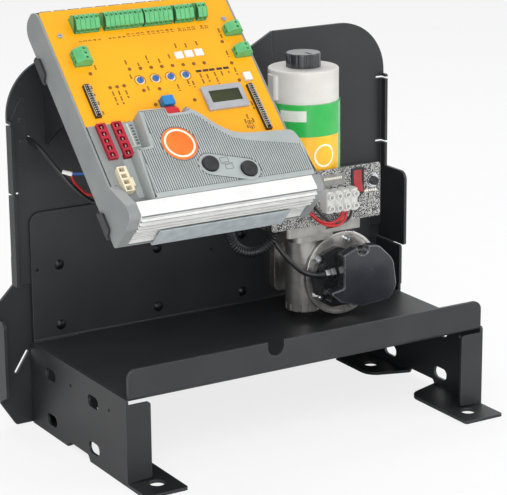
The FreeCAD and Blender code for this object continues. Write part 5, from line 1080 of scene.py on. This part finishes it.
    def shelf(self, palette: Palette) -> None:
        """Flush strip of housing between the sockets and the cover, and its small marks.

        Args:
            palette: the finishes.
        """
        outline = [(36.6, 131.7), (49.2, 131.7), (47.0, 169.2), (33.0, 170.4), (30.4, 212.0), (23.4, 212.0),
                   (23.4, 170.4), (36.6, 170.0)]
        strip = flat_mesh([rounded([(s, t, 0.8) for s, t in outline])], -1.2, 0.25, 0.0, FACE)
        finish_piece(strip, "socket_shelf", palette.get("cover_grey"), "frame", False)
        label = Shell().boxes([(41.6, 145.5, 0.4)], (1.4, 25.0, 0.5))
        label.boxes([(42.5, 158.2, 0.4)], (8.0, 1.2, 0.5))
        label.piece("shelf_rim", palette.get("label_white"), "cover_grey", place=FACE)
        ticks = Shell().boxes([(45.2, t, 0.3) for t in np.arange(135.5, 156.0, 3.3)], (2.6, 1.5, 0.14))
        for t in (197.0, 203.0, 212.0):
            ticks.washer((6.4, t, 0), 1.1, 1.5, 0, 0.14, sides=18)
        ticks.piece("shelf_marks", palette.get("grey_ink"), "housing_grey", place=FACE)


# ---------------------------------------------------------------- the drive
@dataclass
class MotorLabels:
    """Vinyl patches round the motor: white, yellow with a bare ring, and a pale seam."""

    axis: tuple[float, float] = (72.0, 54.0)
    radius: float = 37.0
    film: float = 0.14
    sunk: float = 0.05
    patch_steps: int = 40
    ring_steps: int = 48
    ring_depths: tuple[float, float] = (0.1, 0.26)

    def patch(self, start: float, end: float, low: float, high: float) -> Shell:
        """A curved patch: a rectangle of angle and height wrapped at the case's radius.

        Args:
            start: first angle in degrees from +X.
            end: last angle.
            low: lowest height.
            high: highest height.
        Returns:
            the patch.
        """
        angle = np.radians(np.linspace(start, end, self.patch_steps))
        inner, outer = self.radius - self.sunk, self.radius + self.film
        corners = np.array([(inner, low), (outer, low), (outer, high), (inner, high)])
        ring = np.stack([self.axis[0] + corners[None, :, 0] * np.cos(angle)[:, None],
                         self.axis[1] + corners[None, :, 0] * np.sin(angle)[:, None],
                         np.repeat(corners[None, :, 1], self.patch_steps, 0)], -1)
        return Shell().grid(ring)

    def ring(self, centre: float, height: float, inner: float, outer: float) -> Shell:
        """A flat ring bent round the case: arc length gives the angle, its sine the height.

        Args:
            centre: angle of its middle in degrees from +X.
            height: height of its middle.
            inner: inner radius.
            outer: outer radius.
        Returns:
            the ring.
        """
        turn = np.linspace(0, 2 * np.pi, self.ring_steps, endpoint=False)[:, None]
        radial = np.array([inner, outer, outer, inner])[None]
        depth = np.repeat(self.ring_depths, 2)[None] + self.radius
        angle = np.radians(centre) + radial * np.cos(turn) / self.radius
        surface = np.stack([self.axis[0] + depth * np.cos(angle), self.axis[1] + depth * np.sin(angle),
                            height + radial * np.sin(turn)], -1)
        return Shell().loop(surface)

    def build(self, palette: Palette) -> None:
        """Builds the three patches and the bare ring.

        Args:
            palette: the finishes.
        """
        self.patch(-160, -117.6, 295, 306).piece("motor_patch_white", palette.get("label_white"),
                                                 "motor_case", smooth=True)
        self.patch(-175, -54, 238, 279.5).piece("motor_patch_yellow", palette.get("label_yellow"),
                                                "motor_case", smooth=True)
        self.patch(-53, -47, 192, 311).piece("motor_seam", palette.get("label_pale_green"),
                                             "motor_case", smooth=True)
        self.ring(-88, 260, 9.8, 11.6).piece("motor_ring_print", palette.get("white_ink"),
                                             "motor_case", smooth=True)


@dataclass
class SwitchPanel:
    """What stands on the speckled panel: breaker ring, bare label field and strip screws."""

    front_y: float = 13.0
    breaker_at: tuple[float, float] = (127.0, 229.0)
    strip_x: float = 83.3
    strip_pitch: float = 9.6
    strip_poles: int = 4
    screw_heights: tuple[float, float] = (210.8, 221.2)

    def build(self, palette: Palette) -> None:
        """Builds the chrome ring with its nut, the bare grey field and the strip's screws.

        Args:
            palette: the finishes.
        """
        front = Place((0.0, self.front_y, 0.0), (1.0, 0.0, 0.0), (0.0, 0.0, 1.0), (0.0, -1.0, 0.0))
        ring = Shell().washer((*self.breaker_at, 0), 6.25, 7.4, 0.05, 1.8)
        ring.washer((*self.breaker_at, 0), 4.7, 6.1, 3.0, 3.25)
        ring.piece("breaker_ring", palette.get("chrome"), "zinc_screws", place=front, smooth=True)
        field_plate = flat_mesh([rounded([(66, 229, 1), (95, 229, 1), (95, 241, 1), (66, 241, 1)])],
                                0.02, 0.14, 0.0, front)
        finish_piece(field_plate, "panel_bare_field", palette.get("label_grey"), "frame", False)
        lines = Shell().boxes([(x, 236.5, 0.18) for x in np.arange(71, 91, 2.4)], (1.5, 2.4, 0.1))
        lines.boxes([(x, 218.5, 0.1) for x in np.arange(120, 134, 2.4)], (1.5, 2.2, 0.16))
        lines.piece("panel_marks", palette.get("white_ink"), "speckled_sheet", place=front)
        strip = Shell()
        for i in range(self.strip_poles):
            x = self.strip_x + self.strip_pitch * (i + 0.5 - self.strip_poles / 2)
            for z in self.screw_heights:
                strip.turned((x, z, 0), [(1.9, 11.0), (1.9, 13.6), (1.4, 13.9)], 14)
        strip.piece("strip_screws", palette.get("tin"), "zinc_screws", place=front, smooth=True)


@dataclass
class Wiring:
    """Cables and leads held between two housings, as smooth tubes along their routes."""

    conduit_r: float = 4.95
    wave_height: float = 0.55
    wave_mm: float = 3.0
    switch_lead_r: float = 1.3
    switch_leads: tuple = (("switch_lead_red", "wire_red", 88.1, (0, 0, 0)),
                           ("switch_lead_black", "wire_black", 97.7, (0, 0, 0)),
                           ("switch_lead_red_2", "wire_red", 90.6, (0, -1.4, -1.6)),
                           ("switch_lead_red_3", "wire_red", 86.2, (0, -1.0, 2.2)))
    conduit_route: tuple = ((21, 22, 228), (21, 22, 188.1), (4.9, 22, 172), (-17.9, 22, 172), (-34, 22, 188.1),
                            (-35.5, 22, 229.5), (-34, 22, 269.5), (-34, 22, 312.9))
    lead_routes: dict = field(default_factory=lambda: {
        "lead_blue": ("wire_blue", 1.3, ((-160, 36, 326.9), (-160, 36, 293.9), (-161, 44, 273), (-166, 55, 266),
                                         (-176, 63, 265), (-181, 67, 265))),
        "lead_red": ("wire_red", 1.3, ((-148, 40, 330.9), (-148, 40, 291.9), (-151, 50, 255), (-157, 58, 243),
                                       (-167, 62, 243), (-174, 65.5, 251), (-179, 67.5, 258), (-181, 67, 265))),
        "lead_flex": ("wire_black", 2.3, ((-136, 30, 320.9), (-136, 30, 289.9), (-137, 36, 266), (-141, 45, 245),
                                          (-150, 54, 233), (-163, 60, 236), (-176, 64, 247), (-187, 72, 262),
                                          (-194, 88, 277), (-197, 107, 288), (-197, 129, 290))),
    })

    def switch_route(self, x: float) -> tuple:
        """The route of one switch lead from the strip round the panel's left end."""
        return ((x, 5, 208), (x, 4.5, 200), (x - 7, 2, 194), (x - 18, 1, 192.5), (x - 29, 2, 196),
                (x - 37, 6, 204), (x - 39, 15, 211))

    def conduit(self, palette: Palette) -> None:
        """Corrugated conduit: the tube's radius rises and falls with each wave along its length.

        Args:
            palette: the finishes.
        """
        line = smooth_path(self.conduit_route, 60)
        run = np.concatenate([[0], np.cumsum(np.linalg.norm(np.diff(line, axis=0), axis=1))])
        even = np.linspace(0, run[-1], int(run[-1] / 0.5))
        line = np.stack([np.interp(even, run, line[:, k]) for k in range(3)], 1)
        radii = self.conduit_r + self.wave_height * np.sin(2 * np.pi * even / self.wave_mm)
        made = Shell().grid(sweep(line, radii, 22)).piece("corrugated_conduit", palette.get("conduit_black"),
                                                         "conduit_black", smooth=True)
        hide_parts("conduit")

    def gland(self, palette: Palette) -> None:
        """The sensor lead's cable gland: two six-sided nuts and a tapered sleeve about the lead.

        Args:
            palette: the finishes.
        """
        along = Place((87.5, 22.5, 135.5), (0.0, 1.0, 0.0), (0.0, 0.0, 1.0), (-1.0, 0.0, 0.0))
        nuts = Shell().turned((0, 0, 0), [(6.6, 0.0), (6.6, 4.6), (6.1, 5.0)], 6)
        nuts.turned((0, 0, 0), [(5.8, 5.4), (5.8, 10.6), (5.2, 11.2)], 6)
        nuts.piece("sensor_gland", palette.get("shaft_steel"), "zinc_screws", place=along)
        sleeve = Shell().turned((0, 0, 0), [(4.4, 11.0), (3.9, 14.0), (2.75, 19.0)], 20)
        sleeve.piece("gland_sleeve", palette.get("cable_black"), "cable_black", place=along, smooth=True)

    def build(self, palette: Palette) -> None:
        """Builds the conduit and every lead, in place of their plain solids.

        Args:
            palette: the finishes.
        """
        self.conduit(palette)
        self.gland(palette)
        made = []
        for name, (finish, radius, route) in self.lead_routes.items():
            made.append(Shell().grid(sweep(smooth_path(route), radius)).piece(
                name, palette.get(finish), "wire_red", smooth=True))
        for name, finish, x, shift in self.switch_leads:
            route = np.asarray(self.switch_route(x), float) + np.asarray(shift)
            made.append(Shell().grid(sweep(smooth_path([tuple(p) for p in route]), self.switch_lead_r)).piece(
                name, palette.get(finish), "wire_red", smooth=True))
        way = np.array([-0.83, 0.5, 0.25])
        way /= np.linalg.norm(way)
        ends = np.array([-181.0, 67.0, 265.0]) + np.outer(np.array([-1.5, -1.0, 2.5, 3.0, 8.0, 8.5]), way)
        made.append(Shell().grid(sweep(ends, np.array([1.6, 2.2, 2.2, 2.0, 2.0, 1.5]))).piece(
            "lead_crimp", palette.get("crimp_white"), "wire_red", smooth=True))
        for piece in made:
            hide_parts("leads")


# ---------------------------------------------------------------- studio
@dataclass
class Studio:
    """Pale floor, soft lamps, plain world and the camera."""

    position: tuple[float, float, float] = (-1020.1, -1667.2, 733.1)
    yaw: float = 30.96
    pitch: float = 15.78
    roll: float = -0.51
    lens: float = 147.75
    floor_half: float = 6.0
    floor_drop: float = 0.0005
    floor_glow: float = 0.8
    world_light: float = 0.42
    world_shine: float = 0.8

    def camera(self) -> None:
        """Camera at the given place, turned by yaw to the right, pitch down and roll."""
        data = bpy.data.cameras.new("camera")
        data.lens = self.lens
        data.sensor_width = 36.0
        data.clip_end = 50.0
        yaw, pitch, roll = (math.radians(a) for a in (self.yaw, self.pitch, self.roll))
        ahead = Vector((math.sin(yaw) * math.cos(pitch), math.cos(yaw) * math.cos(pitch), -math.sin(pitch)))
        right = Vector((math.cos(yaw), -math.sin(yaw), 0.0))
        up = right.cross(ahead)
        side = math.cos(roll) * right + math.sin(roll) * up
        over = -math.sin(roll) * right + math.cos(roll) * up
        made = bpy.data.objects.new("camera", data)
        turn = Matrix((side, over, -ahead)).transposed().to_4x4()
        made.matrix_world = Matrix.Translation(Vector(self.position) * MM) @ turn
        bpy.context.scene.collection.objects.link(made)
        bpy.context.scene.camera = made

    def lamp(self, name: str, place: tuple, aim: tuple, size: tuple, power: float) -> None:
        """One soft rectangular lamp.

        Args:
            name: lamp name.
            place: where it hangs, in metres.
            aim: what it points at, in metres.
            size: width and height in metres.
            power: watts.
        """
        data = bpy.data.lights.new(name, "AREA")
        data.shape = "RECTANGLE"
        data.size, data.size_y = size
        data.energy = power
        made = bpy.data.objects.new(name, data)
        made.location = place
        made.rotation_mode = "QUATERNION"
        made.rotation_quaternion = (Vector(aim) - Vector(place)).to_track_quat("-Z", "Y")
        bpy.context.scene.collection.objects.link(made)

    def floor(self) -> None:
        """A wide matt floor that reads white to the eye and keeps a soft shadow."""
        mesh = bpy.data.meshes.new("floor")
        half, drop = self.floor_half, self.floor_drop
        corners = [(-half, -half, -drop), (half, -half, -drop), (half, half, -drop), (-half, half, -drop)]
        mesh.from_pydata(corners, [], [(0, 1, 2, 3)])
        made = bpy.data.objects.new("floor", mesh)
        bpy.context.scene.collection.objects.link(made)
        material = bpy.data.materials.new("white_paper_floor")
        material.use_nodes = True
        tree = material.node_tree
        tree.nodes.clear()
        place = add_node(tree, "TexCoord").outputs["Object"]
        tooth = add_node(tree, "TexNoise", {"Scale": 40.0, "Detail": 2.0}, {"Vector": place})
        tone = add_node(tree, "ValToRGB", {"stops": [(0.3, "#f4f4f4"), (0.7, "#f8f8f8")]},
                        {"Fac": tooth.outputs["Fac"]})
        paper = add_node(tree, "BsdfPrincipled", {"Roughness": 0.9}, {"Base Color": tone.outputs["Color"]})
        glow = add_node(tree, "Emission", {"Strength": 1.0})
        seen = add_node(tree, "LightPath")
        share = add_node(tree, "Math", {"operation": "MULTIPLY", 1: self.floor_glow},
                         {0: seen.outputs["Is Camera Ray"]})
        mix = add_node(tree, "MixShader", None, {0: share.outputs[0], 1: paper.outputs[0], 2: glow.outputs[0]})
        add_node(tree, "OutputMaterial", None, {"Surface": mix.outputs[0]})
        mesh.materials.append(material)

    def world(self) -> None:
        """White to the camera and in reflections, soft grey as a light."""
        world = bpy.data.worlds.new("studio")
        bpy.context.scene.world = world
        world.use_nodes = True
        tree = world.node_tree
        tree.nodes.clear()
        seen = add_node(tree, "LightPath")
        either = add_node(tree, "Math", {"operation": "MAXIMUM"},
                          {0: seen.outputs["Is Camera Ray"], 1: seen.outputs["Is Transmission Ray"]})
        shine = add_node(tree, "Math", {"operation": "MULTIPLY", 1: self.world_shine},
                         {0: seen.outputs["Is Glossy Ray"]})
        most = add_node(tree, "Math", {"operation": "MAXIMUM"}, {0: either.outputs[0], 1: shine.outputs[0]})
        level = add_node(tree, "MapRange", {"To Min": self.world_light, "To Max": 1.0}, {"Value": most.outputs[0]})
        back = add_node(tree, "Background", {"Color": (1, 1, 1, 1)}, {"Strength": level.outputs[0]})
        add_node(tree, "OutputWorld", None, {"Surface": back.outputs[0]})

    def build(self) -> None:
        """Sets the whole studio."""
        self.camera()
        self.floor()
        self.world()
        self.lamp("key_left", (-1.1, -1.8, 1.9), (0, 0, 0.25), (1.4, 1.4), 29)
        self.lamp("fill_right", (1.8, -1.2, 1.2), (0, 0, 0.2), (1.2, 1.6), 17)
        self.lamp("front_low", (-0.9, -1.9, 0.4), (0, 0, 0.25), (1.6, 0.5), 12)
        self.lamp("top_back", (0.3, 1.2, 2.1), (0, 0, 0.2), (1.8, 0.9), 18)
        bpy.context.scene.view_settings.view_transform = "Standard"


def main() -> None:
    """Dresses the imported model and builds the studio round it."""
    logging.basicConfig(level=logging.INFO, format="%(name)s: %(message)s")
    palette = Palette()
    palette.dress_cad()
    Studio().build()
    FacePrint().build(palette)
    FaceHardware().build(palette)
    RibbedCover().build(palette)
    MotorLabels().build(palette)
    SwitchPanel().build(palette)
    Wiring().build(palette)


if __name__ == "__main__":
    main()
